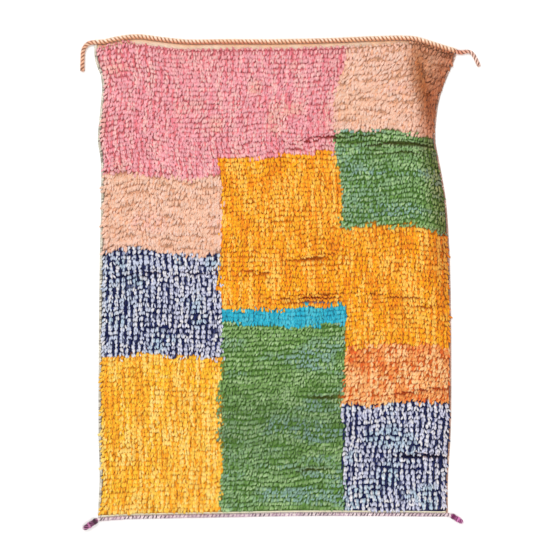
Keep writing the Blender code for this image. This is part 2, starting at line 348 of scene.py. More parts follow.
def spun_wool(name, sheen, bump, streak_low=0.74, streak_high=1.16):
    """Wool that is coloured by the yarn attribute, times streaks along the Lay map and slow uneven dye."""
    wool, tree, shader = new_finish(name, {**WOOL_SOCKETS, "Sheen Weight": sheen})
    yarn = add_node(tree, "Attribute", attribute_name="yarn")
    lay = add_node(tree, "UVMap", uv_map="Lay")
    turned = add_node(tree, "Mapping", {"Rotation": (0, 0, SPIN_TURN)}, {"Vector": lay})
    fibre_scale = (1 / FIBRE_STREAK, 1 / FIBRE_LENGTH, 1)
    drawn = add_node(tree, "Mapping", {"Scale": fibre_scale}, {"Vector": turned})
    fibres = add_node(tree, "TexNoise", {"Scale": 1.0, "Detail": 3.0, "Roughness": 0.6}, {"Vector": drawn})
    place = add_node(tree, "TexCoord").outputs["Object"]
    fuzz = add_node(tree, "TexNoise", {"Scale": 1 / (FUZZ * MM), "Detail": 2.0}, {"Vector": place})
    dye = add_node(tree, "TexNoise", {"Scale": 1 / (DYE_PATCH * MM), "Detail": 2.0}, {"Vector": place})
    streaks = {"From Min": 0.3, "From Max": 0.7, "To Min": streak_low, "To Max": streak_high}
    streak = add_node(tree, "MapRange", streaks, {"Value": fibres})
    dyes = {"From Min": 0.3, "From Max": 0.7, "To Min": DYE_RANGE[0], "To Max": DYE_RANGE[1]}
    uneven = add_node(tree, "MapRange", dyes, {"Value": dye})
    both = add_node(tree, "Math", None, {0: streak, 1: uneven}, operation="MULTIPLY")
    tinted = add_node(tree, "VectorMath", None, {0: yarn, "Scale": both}, operation="SCALE")
    relief = add_node(tree, "Math", None, {0: fibres, 1: fuzz}, operation="ADD")
    bumps = add_node(tree, "Bump", {"Strength": bump, "Distance": FUZZ_DEPTH * MM}, {"Height": relief})
    tree.links.new(tinted.outputs["Vector"], shader.inputs["Base Color"])
    tree.links.new(bumps.outputs["Normal"], shader.inputs["Normal"])
    return wool


pile_wool = spun_wool("HandspunPileWool", 0.08, 0.9)
cord_wool = spun_wool("PliedCordWool", 0.3, 0.7)
edge_wool = spun_wool("WrappingYarnWool", 0.25, 0.6)
print("wool finishes:", pile_wool.name, cord_wool.name, edge_wool.name)

# %% [markdown]
# ## Yarns as closed tubes
# Locks, plies, wraps and stitches are all yarn, so one function skins them all. It takes rings of points as
# one array, joins the rings into tubes with closed ends, and gives each tube two UV maps: Lay, in
# millimetres round and along the yarn for its streaks, and OFBake, where each tube has a cell of its own so
# that its colours can be baked.

# %% Lines and rings of yarn
UP = np.array([0, 0, 1.0])
SHORTEST = 1e-9


def unit(vectors):
    """Vectors of length one that point the same ways."""
    return vectors / np.maximum(np.linalg.norm(vectors, axis=-1, keepdims=True), SHORTEST)


def lifted(flat, height):
    """Level points or directions with their height as a third number."""
    return np.concatenate([flat, np.broadcast_to(height, flat.shape[:-1])[..., None]], -1)


def turned_up(beside, angle):
    """Directions at an angle from level ones: cos(angle) of them and sin(angle) upwards."""
    return np.cos(angle)[..., None] * beside + np.sin(angle)[..., None] * UP


def yarn_rings(middle, first, second, wide, thick, sides, lowest=0.0):
    """Rings round the points of a yarn's middle line: cos(phi) * wide along the first direction and
    sin(phi) * thick along the second one. What would lie below the lowest height is raised to it."""
    phi = 2 * np.pi * np.arange(sides) / sides
    rings = middle[..., None, :] + (np.cos(phi) * wide)[..., None] * first[..., None, :]
    rings = rings + (np.sin(phi) * thick)[..., None] * second[..., None, :]
    rings[..., 2] = np.maximum(rings[..., 2], lowest)
    return rings


# %% Maps of tubes
CELL_SIDE = 0.06
CELL_END = 0.17
CAP_OVAL = (0.4, 0.05)
CAP_AT = 0.085
LAY_SHIFT = (7.31, 3.77)
LAY_REPEAT = (97, 89)


def wall_map(tubes_n, walls_n, sides, walls_a_cell):
    """UV corners of the walls: tube and stretch pick a square cell, u runs round the tube, v along the
    stretch."""
    stretches = -(-walls_n // walls_a_cell)
    grid = int(np.ceil(np.sqrt(tubes_n * stretches)))
    tube, wall, side = np.meshgrid(np.arange(tubes_n), np.arange(walls_n), np.arange(sides), indexing="ij")
    cell = tube * stretches + wall // walls_a_cell
    u = (side[..., None] + np.array([0, 1, 1, 0])) / sides
    v = ((wall % walls_a_cell)[..., None] + np.array([0, 0, 1, 1])) / walls_a_cell
    u = ((cell % grid)[..., None] + CELL_SIDE + (1 - 2 * CELL_SIDE) * u) / grid
    v = ((cell // grid)[..., None] + CELL_END + (1 - 2 * CELL_END) * v) / grid
    return np.stack([u, v], -1), grid, stretches


def cap_map(tubes_n, sides, grid, stretches):
    """UV corners of the end caps: small ovals below a tube's first cell and above its last one."""
    angle = 2 * np.pi * np.arange(sides) / sides
    oval = np.stack([0.5 + CAP_OVAL[0] * np.cos(angle), CAP_OVAL[1] * np.sin(angle)], 1)
    first = np.arange(tubes_n) * stretches
    last = first + stretches - 1
    low = np.stack([first % grid, first // grid], 1)[:, None] + oval + np.array([0, CAP_AT])
    high = np.stack([last % grid, last // grid], 1)[:, None] + oval + np.array([0, 1 - CAP_AT])
    return np.concatenate([low, high]) / grid


def lay_map(rings):
    """Millimetres round each ring and along each tube at the wall corners, shifted a little further for
    each tube."""
    middle = rings.mean(2)
    steps = np.linalg.norm(np.diff(middle, axis=1), axis=2)
    along = np.concatenate([np.zeros((len(rings), 1)), np.cumsum(steps, 1)], 1) / MM
    girth = np.linalg.norm(rings - np.roll(rings, -1, 2), axis=3).mean((1, 2)) / MM
    tubes_n, rings_n, sides = rings.shape[:3]
    side = np.arange(sides)[:, None] + np.array([0, 1, 1, 0])
    u = np.broadcast_to((girth[:, None, None] * side)[:, None], (tubes_n, rings_n - 1, sides, 4))
    low_high = np.stack([along[:, :-1], along[:, :-1], along[:, 1:], along[:, 1:]], -1)
    v = np.broadcast_to(low_high[:, :, None], u.shape)
    tube = np.arange(tubes_n)[:, None, None, None, None]
    return np.stack([u, v], -1) + np.array(LAY_SHIFT) * tube % LAY_REPEAT


# %% Meshes of tubes
def wool_inside(mesh):
    """Volume inside a closed mesh in cm3: a . (b x c) / 6 summed over its triangles, positive if they face
    out."""
    mesh.calc_loop_triangles()
    corners = np.empty(3 * len(mesh.loop_triangles), np.int32)
    mesh.loop_triangles.foreach_get("vertices", corners)
    points = np.empty(3 * len(mesh.vertices))
    mesh.vertices.foreach_get("co", points)
    a, b, c = np.moveaxis(points.reshape(-1, 3)[corners.reshape(-1, 3)], 1, 0)
    return np.einsum("ij,ij->i", a, np.cross(b, c)).sum() / 6 / (MM * 10) ** 3


def give_colours(mesh, shades):
    """Stores the colour of each point, with its alpha, as the yarn attribute."""
    mesh.color_attributes.new("yarn", "FLOAT_COLOR", "POINT").data.foreach_set("color", shades.ravel())


def give_map(mesh, name, corners):
    """Stores a UV map from its corners in the order of the faces."""
    mesh.uv_layers.new(name=name).data.foreach_set("uv", corners.astype(np.float32).ravel())


def tube_mesh(name, rings, colours, walls_a_cell=None):
    """Mesh of closed tubes. rings[n, r, s] is point s of ring r of tube n, and colours broadcasts to it."""
    tubes_n, rings_n, sides = rings.shape[:3]
    points = rings.reshape(-1, 3) + MIDDLE
    index = np.arange(len(points)).reshape(tubes_n, rings_n, sides)
    low, high = index[:, :-1], index[:, 1:]
    walls = np.stack([low, np.roll(low, -1, 2), np.roll(high, -1, 2), high], -1).reshape(-1, 4)
    caps = np.concatenate([index[:, 0, ::-1], index[:, -1]])
    corners = np.concatenate([walls.ravel(), caps.ravel()])
    starts = np.concatenate([4 * np.arange(len(walls)), 4 * len(walls) + sides * np.arange(len(caps))])
    mesh = bpy.data.meshes.new(name)
    mesh.vertices.add(len(points))
    mesh.vertices.foreach_set("co", points.astype(np.float32).ravel())
    mesh.loops.add(len(corners))
    mesh.loops.foreach_set("vertex_index", corners.astype(np.int32))
    mesh.polygons.add(len(starts))
    mesh.polygons.foreach_set("loop_start", starts.astype(np.int32))
    mesh.update(calc_edges=True)
    mesh.shade_smooth()
    cells, grid, stretches = wall_map(tubes_n, rings_n - 1, sides, walls_a_cell or rings_n - 1)
    ovals = cap_map(tubes_n, sides, grid, stretches).reshape(-1, 2)
    give_map(mesh, "Lay", np.concatenate([lay_map(rings).reshape(-1, 2), np.zeros_like(ovals)]))
    give_map(mesh, "OFBake", np.concatenate([cells.reshape(-1, 2), ovals]))
    shades = np.ones((tubes_n, rings_n, sides, 4), np.float32)
    shades[..., :3] = colours
    give_colours(mesh, shades)
    volume = wool_inside(mesh)
    print(f"{name}: {tubes_n} yarns, {len(mesh.loop_triangles)} triangles, {volume:.1f} cm3 of wool")
    return mesh


def add_piece(mesh, finish):
    """Puts a mesh into the scene as a piece that rides on the rug."""
    piece = bpy.data.objects.new(mesh.name, mesh)
    mesh.materials.append(finish)
    scene.collection.objects.link(piece)
    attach(piece, "root")
    return piece


# %% [markdown]
# ## The loose ends of the head cord
# Past each top corner the cord hangs free, about a hand's width. It could be one bent tube, but the twist
# shows, so each tail is two thick plies wound round each other with a thinner yarn in each groove between
# them. The route is the solid's own, point by point, and the yarns wind round it with the cord's lead of 24
# mm.

# %% Routes of the tails, in millimetres from the rug's middle
TAIL_LEFT_ROUTE = (
    (-552.96, 732.39), (-560, 732.24), (-568, 731.6), (-577, 728.6), (-585, 722.4), (-591, 713.5),
    (-594.2, 702.5), (-595.2, 690), (-595.5, 676), (-595.8, 662), (-596, 646),
)
TAIL_RIGHT_ROUTE = (
    (558.40, 704.91), (568, 702.06), (578, 701.2), (588, 702.8), (598, 703.8), (607, 700.8),
    (614.5, 693.5), (620.5, 683.5), (626, 672.5), (631, 661.5),
)
CURVE_STEPS = 40


def even_route(points, step):
    """Points about a step apart along a smooth curve through the given ones, and their distances from its
    start."""
    points = np.asarray(points, float)
    reach = np.concatenate([[0], np.cumsum(np.linalg.norm(np.diff(points, axis=0), axis=1))])
    fine = np.linspace(0, reach[-1], CURVE_STEPS * len(points))
    curve = np.stack([eased(fine, reach, points[:, 0]), eased(fine, reach, points[:, 1])], 1)
    walked = np.concatenate([[0], np.cumsum(np.linalg.norm(np.diff(curve, axis=0), axis=1))])
    along = np.linspace(0, walked[-1], max(2, round(walked[-1] / step) + 1))
    even = np.stack([np.interp(along, walked, curve[:, 0]), np.interp(along, walked, curve[:, 1])], 1)
    return even, along


def left_of(heading):
    """Level directions a quarter turn to the left of level ones."""
    return np.stack([-heading[..., 1], heading[..., 0]], -1)


def square_to(route):
    """Level directions square to a route, to its left."""
    return left_of(unit(np.gradient(route, axis=0)))


# %% Uneven colours
DRIFT_REPEAT = 97
DRIFT_ORIGIN = 1000


def drift(x, y, size, seed, least=0.0, most=1.0):
    """Soft random value from least to most: random numbers on a lattice of that size, blended by smooth."""
    lattice = np.random.default_rng(seed).random((DRIFT_REPEAT, DRIFT_REPEAT))
    gx = np.asarray(x) / size + DRIFT_ORIGIN
    gy = np.asarray(y) / size + DRIFT_ORIGIN
    i = np.floor(gx).astype(int)
    j = np.floor(gy).astype(int)
    left, right = i % DRIFT_REPEAT, (i + 1) % DRIFT_REPEAT
    low, high = j % DRIFT_REPEAT, (j + 1) % DRIFT_REPEAT
    across = smooth(gx - i)
    near = mixed(lattice[left, low], lattice[right, low], across)
    far = mixed(lattice[left, high], lattice[right, high], across)
    return mixed(least, most, mixed(near, far, smooth(gy - j)))


def blended(first, second, share):
    """Linear colour between two hex colours, at each share."""
    return mixed(linear(first), linear(second), np.clip(np.asarray(share), 0, 1)[..., None])


# %% Twisted cord: two thick plies and two thin yarns in their grooves
# Sizes of the yarns are shares of the cord's diameter, and lengths are in metres.
RING_STEP = 0.0016
PLY_SIDES = 12
PLY_FULLNESS = 0.80
GROOVE_RADIUS = 0.17
GROOVE_ORBIT = 0.29
STRAND_LOBES = 0.07
LOBE_PITCH = 0.016
FULL_START = 0.03
THICK_AND_THIN = (0.94, 1.06)
THICK_AND_THIN_SIZE = 0.008
YARN_STEP = 7.0
LOOSE_APART = 0.3
LOOSE_THINNER = 0.2


def wound(route, along, height, starts, orbit, radius, sides):
    """Rings of yarns that wind round a level route. Yarn k is at angle starts[k] + 2 pi along / lead, at
    orbit[k] from the route. Its three fine strands show: radius[k] * (1 + lobes * cos(3 phi - 2 pi along /
    pitch))."""
    angle = starts[:, None] + 2 * np.pi * along / CORD_LEAD
    out = turned_up(lifted(square_to(route), 0), angle)
    middle = lifted(route, height) + orbit[..., None] * out
    across = np.cross(unit(np.gradient(middle, axis=1)), out)
    phi = 2 * np.pi * np.arange(sides) / sides
    lobes = STRAND_LOBES * np.cos(3 * phi - (2 * np.pi * along / LOBE_PITCH)[:, None])
    full = radius[..., None] * (1 + lobes)
    return yarn_rings(middle, out, across, full, full, sides)


def cord_rings(route, along, diameter, loosen, phase):
    """Four yarns: plies of PLY_SHARE of the diameter half a turn apart, and thin yarns a quarter turn on.
    The last stretch of length loosen opens: its yarns draw apart and thin out as (share of the stretch)^2.
    A cord that is thinner than the head cord starts as full as it, by exp(-(along / FULL_START)^2)."""
    ply = PLY_FULLNESS * PLY_SHARE * diameter / 2
    apart = diameter / 2 - ply
    opening = ramp(along, along[-1] - loosen, loosen) ** 2 if loosen else 0 * along
    fuller = 1 + max(CORD_DIAMETER / diameter - 1, 0) * bell(along, FULL_START)
    starts = phase + np.pi * np.array([0, 1, 0.5, 1.5])
    orbit = np.array([apart, apart, GROOVE_ORBIT * diameter, GROOVE_ORBIT * diameter])[:, None]
    radius = np.array([ply, ply, GROOVE_RADIUS * diameter, GROOVE_RADIUS * diameter])[:, None]
    uneven = drift(along, YARN_STEP * np.arange(4)[:, None], THICK_AND_THIN_SIZE, 23, *THICK_AND_THIN)
    radius = radius * uneven * fuller * (1 - LOOSE_THINNER * opening)
    orbit = orbit * fuller * (1 + LOOSE_APART * opening)
    return wound(route, along, CORD_LIFT * diameter, starts, orbit, radius, PLY_SIDES)


# %% Colours of the cord
# Places across the cord are shares of its diameter, left of its middle line.
DYE_STRETCH = 0.06
DYE_STEP = 0.1
PLY_WARMTH = (-0.2, 1.1)
LOWER_START = 0.02
LOWER_RAMP = 0.36
# On the cord's lower side its grooves are darker, and on its upper side they turn lighter: painted shade and
# painted light.
LOWER_GROOVE_PAINTED_SHADE = 0.38
UPPER_LIGHT_START = 0.16
UPPER_LIGHT_RAMP = 0.22
UPPER_PAINTED_LIGHT_SHARE = 0.75
WORN_SHARE = 0.8
Worn = namedtuple("Worn", "colour length")


def cord_shades(rings, route, along, diameter, colours, lower, worn):
    """Plies go from pale to warm and grooves from groove to deep. On the right of its way, its lower side,
    the cord takes the lower colour by the smoothstep of the distance to its middle line, with its grooves
    darker there: rust yarn with painted shade. On the left, its upper side, its grooves turn to the warm
    colour: painted light. A worn cord starts in its worn colour, by exp(-(along / length)^4)."""
    pale, warm, groove, deep = colours
    patch = drift(along, DYE_STEP * np.arange(4)[:, None], DYE_STRETCH, 21)
    plies = blended(pale, warm, mixed(*PLY_WARMTH, patch[:2]))
    shades = np.concatenate([plies, blended(groove, deep, patch[2:])])
    shades = np.broadcast_to(shades[:, :, None], rings.shape)
    if lower is not None:
        aside = ((rings[..., :2] - route[:, None]) * square_to(route)[:, None]).sum(-1) / diameter
        upper_painted_light = UPPER_PAINTED_LIGHT_SHARE * ramp(aside[2:], UPPER_LIGHT_START, UPPER_LIGHT_RAMP)[..., None]
        shades = np.concatenate([shades[:2], mixed(shades[2:], linear(warm), upper_painted_light)])
        darker = np.array([1, 1, LOWER_GROOVE_PAINTED_SHADE, LOWER_GROOVE_PAINTED_SHADE])[:, None, None, None]
        turned = smooth(ramp(aside, LOWER_START, -LOWER_RAMP))[..., None]
        shades = mixed(shades, darker * lower(route[:, 0])[:, None], turned)
    if worn is not None:
        share = (WORN_SHARE * bell(along, worn.length, 4))[:, None, None]
        shades = mixed(shades, shades * linear(worn.colour) / linear(pale), share)
    return shades


def cord_mesh(name, points, diameter, colours, loosen=0, phase=0.0, lower=None, worn=None):
    """Mesh of a four-yarn cord along a smooth curve through the points, with its route and its length."""
    route, along = even_route(points, RING_STEP)
    rings = cord_rings(route, along, diameter, loosen, phase)
    shades = cord_shades(rings, route, along, diameter, colours, lower, worn)
    return tube_mesh(name, rings, shades, walls_a_cell=24), route, along[-1]


# %% Frayed ends
FRAY_STRANDS = 22
FRAY_LENGTH = 0.009
FRAY_ROOT = 0.004
FRAY_RADIUS = 0.4
FRAY_NARROW = 0.8
FRAY_SPREAD = 0.35
FRAY_SAG = 0.002
FRAY_LOWEST = 0.0012
FRAY_YARN = 0.0011
FRAY_TAPER = np.array([1, 1, 0.8, 0.35])


def fray_mesh(name, route, diameter, colours):
    """A brush of yarns past the end of a cord. The square root of a random share spreads them evenly over
    its section, and they fan out as they go."""
    rng = np.random.default_rng(31)
    ahead = unit(route[-1] - route[-3])
    turn = rng.uniform(0, 2 * np.pi, FRAY_STRANDS)
    out = FRAY_RADIUS * diameter * np.sqrt(rng.uniform(0, 1, FRAY_STRANDS))
    t = np.linspace(0, 1, len(FRAY_TAPER))
    spread = (out * np.cos(turn))[:, None] * (FRAY_NARROW + FRAY_SPREAD * t)
    raised = CORD_LIFT * diameter + (out * np.sin(turn))[:, None] * (FRAY_NARROW + FRAY_SPREAD * t**2)
    reach = FRAY_LENGTH * rng.uniform(0.5, 1, FRAY_STRANDS)[:, None] * t - FRAY_ROOT
    flat = route[-1] + reach[..., None] * ahead + spread[..., None] * left_of(ahead)
    middle = lifted(flat, np.maximum(raised - FRAY_SAG * t, FRAY_LOWEST))
    thick = FRAY_YARN * FRAY_TAPER[:, None]
    rings = yarn_rings(middle, lifted(left_of(ahead), 0), UP, thick, thick, 4)
    shades = blended(colours[0], colours[1], rng.uniform(0, 1, FRAY_STRANDS))
    return tube_mesh(name, rings, shades[:, None, None])


# %% The two tails
Tail = namedtuple("Tail", "node route diameter stiffness colours phase worn")
# The thin groove yarns are dark: painted shade of the grooves between the plies.
LEFT_COLOURS = ("#EABE9E", "#D99270", "#A46044", "#80503A")
RIGHT_COLOURS = ("#F2D2C4", "#E0A890", "#9A6450", "#74503F")
TAILS = (
    Tail("tail_left", TAIL_LEFT_ROUTE, 0.014, "limp", LEFT_COLOURS, 0.0, None),
    Tail("tail_right", TAIL_RIGHT_ROUTE, 0.012, "limp", RIGHT_COLOURS, 0.9, Worn("#D98A66", 0.044)),
)
LOOSE_END = 0.030

for tail in TAILS:
    mesh, route, length = cord_mesh(
        tail.node + "_cord",
        np.array(tail.route) * MM,
        tail.diameter,
        tail.colours,
        loosen=LOOSE_END,
        phase=tail.phase,
        worn=tail.worn,
    )
    cord = add_piece(mesh, cord_wool)
    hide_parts(tail.node)
    brush = fray_mesh(tail.node + "_fray", route, tail.diameter, tail.colours)
    fray = add_piece(brush, cord_wool)
    print(tail.node, "is", round(length / MM), "mm of loose cord,", round(tail.diameter / MM), "mm thick")

# %% [markdown]
# ## The heading cord
# Along the head the same cord is twined through the warp loops, and it closes the weave. It is pale pink
# wool with rust yarn in the grooves, and the rust turns redder towards the middle, where another batch of
# yarn was used. The lower side of the cord is painted darker and its upper side lighter, as light from above
# falls on it.

# %% Head cord from corner to corner
CORD_POINTS = 100
HEAD_FULLNESS = 0.0165
HEAD_RAISE = 0.0007
RED_MIDDLE = -0.18
RED_STRETCH = 0.14
RED_UNEVEN = (-0.2, 0.3)
RED_PATCH = 0.05
# The thin groove yarns are dark rust: rust yarn, and painted shade of the grooves.
HEAD_COLOURS = ("#F2DAC4", "#EAC6A6", "#B06434", "#8C4824")


def rust(x):
    """Rust yarn, redder round the middle as exp(-((x - middle) / stretch)^2), and uneven along the way."""
    red = bell(x - RED_MIDDLE, RED_STRETCH) + drift(x, 0 * x, RED_PATCH, 22, *RED_UNEVEN)
    return blended("#E29C70", "#DA7E5A", red)


x = np.linspace(*CORD_ENDS, CORD_POINTS) * WIDTH
line = np.stack([x, cord_line(x) + HEAD_RAISE], 1)
mesh, _, head_length = cord_mesh("head_cord_plies", line, HEAD_FULLNESS, HEAD_COLOURS, lower=rust)
head_cord = add_piece(mesh, cord_wool)
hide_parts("head_cord")
print("the heading cord is", round(head_length / MM), "mm long")

# %% [markdown]
# ## The woven ground
# Behind the pile is a thin cloth of warp and weft. On its back each knot shows as a small coloured bump, in
# rows, with bands of cream weft between them. It is one closed sheet a few millimetres thick, with low
# relief underneath, and the plain strips at head and foot are woven on the same warps without knots.


# %% Thin closed slabs
def slab_mesh(name, flat, top, top_colours, under_colours, weave):
    """Closed sheet over a grid of level points: its top at a height for each point, its underside at 0, and
    walls round its rim. weave holds the woven coordinates of the points, which go to the Lay map, and alpha
    is 0 on top."""
    rows, columns = flat.shape[:2]
    count = rows * columns
    points = np.concatenate([lifted(flat, top).reshape(-1, 3), lifted(flat, 0).reshape(-1, 3)]) + MIDDLE
    index = np.arange(count).reshape(rows, columns)
    a, b, c, d = index[:-1, :-1], index[:-1, 1:], index[1:, 1:], index[1:, :-1]
    face_up = np.stack([a, b, c, d], -1).reshape(-1, 4)
    rim = np.concatenate([index[0, :-1], index[:-1, -1], index[-1, :0:-1], index[:0:-1, 0]])
    ahead = np.roll(rim, -1)
    walls = np.stack([rim + count, ahead + count, ahead, rim], -1)
    corners = np.concatenate([face_up, face_up[:, ::-1] + count, walls])
    mesh = bpy.data.meshes.new(name)
    mesh.from_pydata(points, [], corners)
    mesh.shade_smooth()
    give_map(mesh, "Lay", np.concatenate([weave.reshape(-1, 2)] * 2)[corners.ravel()])
    shades = np.ones((2 * count, 4), np.float32)
    shades[:count, :3] = top_colours.reshape(-1, 3)
    shades[:count, 3] = 0
    shades[count:, :3] = under_colours.reshape(-1, 3)
    give_colours(mesh, shades)
    print(f"{name}: {2 * len(corners)} triangles, {wool_inside(mesh):.1f} cm3 of wool")
    return mesh


# %% [markdown]
# ## The coloured fields
# The face is divided into plain blocks of colour in three columns, as weavers of such rugs lay them out knot
# by knot, so each block's edge wanders a little. Each dye has a few shades: handspun yarn takes it unevenly,
# and the ends between two ribs lie deeper, in a darker gap shade that is painted shade. The white blocks
# have real indigo yarn in those gaps, in broken wavy lines.

# %% Blocks of colour
Block = namedtuple("Block", "name column top dye")
Wander = namedtuple("Wander", "swing length phase")
COLUMN_EDGES = (-170, 215)
COLUMN_WANDERS = (
    (Wander(6, 70, 0), Wander(3, 27, 2)),
    (Wander(6, 83, 1), Wander(3, 31, 0)),
)
TOP_WANDERS = (Wander(7, 90, 1), Wander(3, 23, 2))
BLOCKS = (
    Block("left_orange", 0, 500, "amber"),
    Block("left_indigo", 0, 830, "indigo"),
    Block("left_peach", 0, 1070, "peach"),
    Block("left_pink", 0, 1600, "pink"),
    Block("middle_green", 1, 600, "green"),
    Block("middle_turquoise", 1, 655, "turquoise"),
    Block("middle_orange", 1, 1135, "orange"),
    Block("middle_pink", 1, 1600, "pink"),
    Block("right_indigo", 2, 350, "indigo"),
    Block("right_terracotta", 2, 530, "terracotta"),
    Block("right_orange", 2, 900, "orange"),
    Block("right_green", 2, 1200, "green"),
    Block("right_peach", 2, 1600, "peach"),
)


def wandering(at, wanders, turns=1):
    """How far an edge wanders at a place along it: the sum of swing * sin(place / length + turns *
    phase)."""
    return sum(wander.swing * np.sin(at / wander.length + turns * wander.phase) for wander in wanders)


def block_at(p, q):
    """Index of the block p mm right of the middle and q mm above the foot, between edges that wander."""
    columns = zip(COLUMN_EDGES, COLUMN_WANDERS)
    across = sum(p > edge + wandering(q, wanders) for edge, wanders in columns)
    index = np.zeros(np.shape(p), int)
    for k, block in reversed(list(enumerate(BLOCKS))):
        top = block.top + wandering(p, TOP_WANDERS, turns=k)
        index = np.where((across == block.column) & (q < top), k, index)
    return index


# %% Dyes
# Main, light, deep and patch are the shades of the yarn, and gap is the shade of ends between ribs: a darker
# shade that is painted shade, but real indigo yarn in the white blocks. Then come how often lights, deeps,
# patches and gap shades come, and the size in millimetres of the soft streaks between them.
Dye = namedtuple("Dye", "main light deep patch gap lights deeps patches gaps streak")
DYES = {
    "orange": Dye("#F3AB0B", "#F8C557", "#EB8E0B", "#F2BA43", "#EB8A08", 0.46, 0.42, 0.4, 0.7, (13, 60)),
    "amber": Dye("#F5C230", "#F9D878", "#EEA622", "#F4CE66", "#EC9C18", 0.46, 0.42, 0.4, 0.7, (13, 60)),
    "indigo": Dye("#CDCEE2", "#E4E1E4", "#1A2662", "#B8CCDB", "#121B50", 0.46, 0.38, 0.4, 0.80, (8, 14)),
    "peach": Dye("#E8BEA5", "#EAC6B4", "#E3B194", "#E9B9AA", "#E8AE8C", 0.45, 0.36, 0.4, 0.4, (12, 14)),
    "pink": Dye("#E8A5AC", "#ECB9B5", "#E17B89", "#E6AEA1", "#E1797F", 0.45, 0.36, 0.4, 0.6, (12, 70)),
    "green": Dye("#84A664", "#9EBA84", "#648A40", "#84A496", "#5E883C", 0.42, 0.42, 0.52, 0.5, (40, 12)),
    "turquoise": Dye("#2FB2C9", "#50BED0", "#24A5BF", "#40B8C6", "#139BB8", 0.44, 0.42, 0.4, 0.5, (14, 40)),
    "terracotta": Dye("#ED9B4F", "#F5C98F", "#E36A28", "#EFAE69", "#DB6A26", 0.50, 0.38, 0.5, 0.5, (16, 30)),
}
for dye, recipe in DYES.items():
    print(dye, "yarn:", recipe.main, "with", recipe.light, "and", recipe.deep)


def shade_of(blocks, name):
    """That shade of the dye of each block, by the block's index, as linear colour."""
    return np.array([linear(getattr(DYES[block.dye], name)) for block in BLOCKS])[blocks]


# %% How the ends of each dye lie
# Spread and wave are shares of a rib. Reach, width, thick and gap_height are in mm, width and thick from
# the middle line out, and slant is in radians. Rows stray by wander, a share of a row, more slowly along
# the row where run is small. Ends in a gap start gap_shift of a row higher up.
Lie = namedtuple("Lie", "spread wave reach width thick slant gap_height gap_shift wander run")
LIES = {
    "orange": Lie(0.24, 0.12, 14.8, 3.6, 2.8, -0.16, 0.2, 0.25, 0.25, 1.1),
    "amber": Lie(0.24, 0.12, 14.8, 3.8, 3.9, -0.16, 0.2, 0.25, 0.25, 1.1),
    "indigo": Lie(0.19, 0.16, 13.6, 3.1, 2.2, -0.05, -0.1, 0.25, 0.42, 1.1),
    "peach": Lie(0.28, 0.14, 17.0, 3.9, 4.2, -0.40, 0.6, 0.30, 0.90, 0.8),
    "pink": Lie(0.23, 0.12, 14.8, 3.6, 3.5, -0.12, 0.0, 0.25, 0.30, 1.1),
    "green": Lie(0.26, 0.08, 12.6, 2.9, 1.7, -0.60, 0.3, 0.10, 0.42, 0.6),
    "turquoise": Lie(0.22, 0.10, 14.5, 3.7, 3.8, -0.10, 0.2, 0.15, 0.30, 1.1),
    "terracotta": Lie(0.23, 0.14, 14.8, 3.5, 4.0, -0.60, -0.2, 0.2, 0.40, 1.1),
}
print("ends reach", LIES["orange"].reach, "mm in orange and", LIES["green"].reach, "mm in green")

# %% Shadows of the ear, of its fold and of the right edge
# Painted shade, as factors on the colours: the folded ear and its fold turn away from the light, the cord
# shades the pile below it, and the right edge curls away.
EAR_PAINTED_SHADE = np.array([0.80, 0.66, 0.54])
EAR_X = 0.4945
EAR_Y = 0.640
EAR_SIZE = (0.075, 0.11)
FOLD_PAINTED_SHADE = np.array([0.62, 0.40, 0.22])
FOLD_X = 0.462
FOLD_Y = 0.610
FOLD_LEAN = 0.20
FOLD_SIZE = (0.031, 0.15)
EDGE_PAINTED_SHADE = np.array([0.70, 0.48, 0.37])
EDGE_SHADOW = 0.075
EDGE_RAMP = (-0.2, 0.3)
EDGE_LEAST = 0.15
CORD_PAINTED_SHADE = np.array([0.66, 0.46, 0.32])
CORD_SHADOW = 0.022
CORD_RAMP = (0.425, 0.03)


def in_ear(x, y, size):
    """Share of the ear at a place: exp(-distance^4), with the distance in parts of the oval's size."""
    return bell(np.hypot((x - EAR_X) / size[0], (y - EAR_Y) / size[1]), 1, 4)


def shadows(x, y, u):
    """Factors on red, green and blue, all painted shade: brown in the ear, in its fold and below the cord
    there, and a slow shade along the right edge, a smoothstep that is stronger near the head. They darken
    where the folded ear turns away from the light, where the cord shades the pile and where the right edge
    curls away."""
    from_fold = x - FOLD_X + FOLD_LEAN * (y - FOLD_Y)
    in_fold = bell(from_fold, FOLD_SIZE[0]) * bell(y - FOLD_Y, FOLD_SIZE[1], 4)
    at_edge = smooth(ramp((1 - u) * WIDTH, EDGE_SHADOW, -EDGE_SHADOW))
    near_right = at_edge * np.maximum(ramp(y, *EDGE_RAMP), EDGE_LEAST)
    near_cord = bell(cord_line(x) - y, CORD_SHADOW) * ramp(x, *CORD_RAMP)
    shares = (in_ear(x, y, EAR_SIZE), in_fold, near_right, near_cord)
    factor = np.ones((*np.shape(x), 3))
    for share, painted_shade in zip(shares, (EAR_PAINTED_SHADE, FOLD_PAINTED_SHADE, EDGE_PAINTED_SHADE, CORD_PAINTED_SHADE)):
        factor = factor * (1 - share[..., None] * (1 - painted_shade))
    return factor


# %% The sheet of warp and weft, with the dense feet of the pile
ROWS = 110
GROUND_RIM = 0.003
GROUND_BELOW_FACE = 0.0062
RIM_SLOPE = 0.014
FOOT_SHARE = FOOT_STRIP / LENGTH
HEAD_SHARE = 1 - HEAD_STRIP / LENGTH
FEET_PAINTED_SHADE = 0.9
SEAM_PAINTED_SHADE = np.array([0.52, 0.20, 0.16])

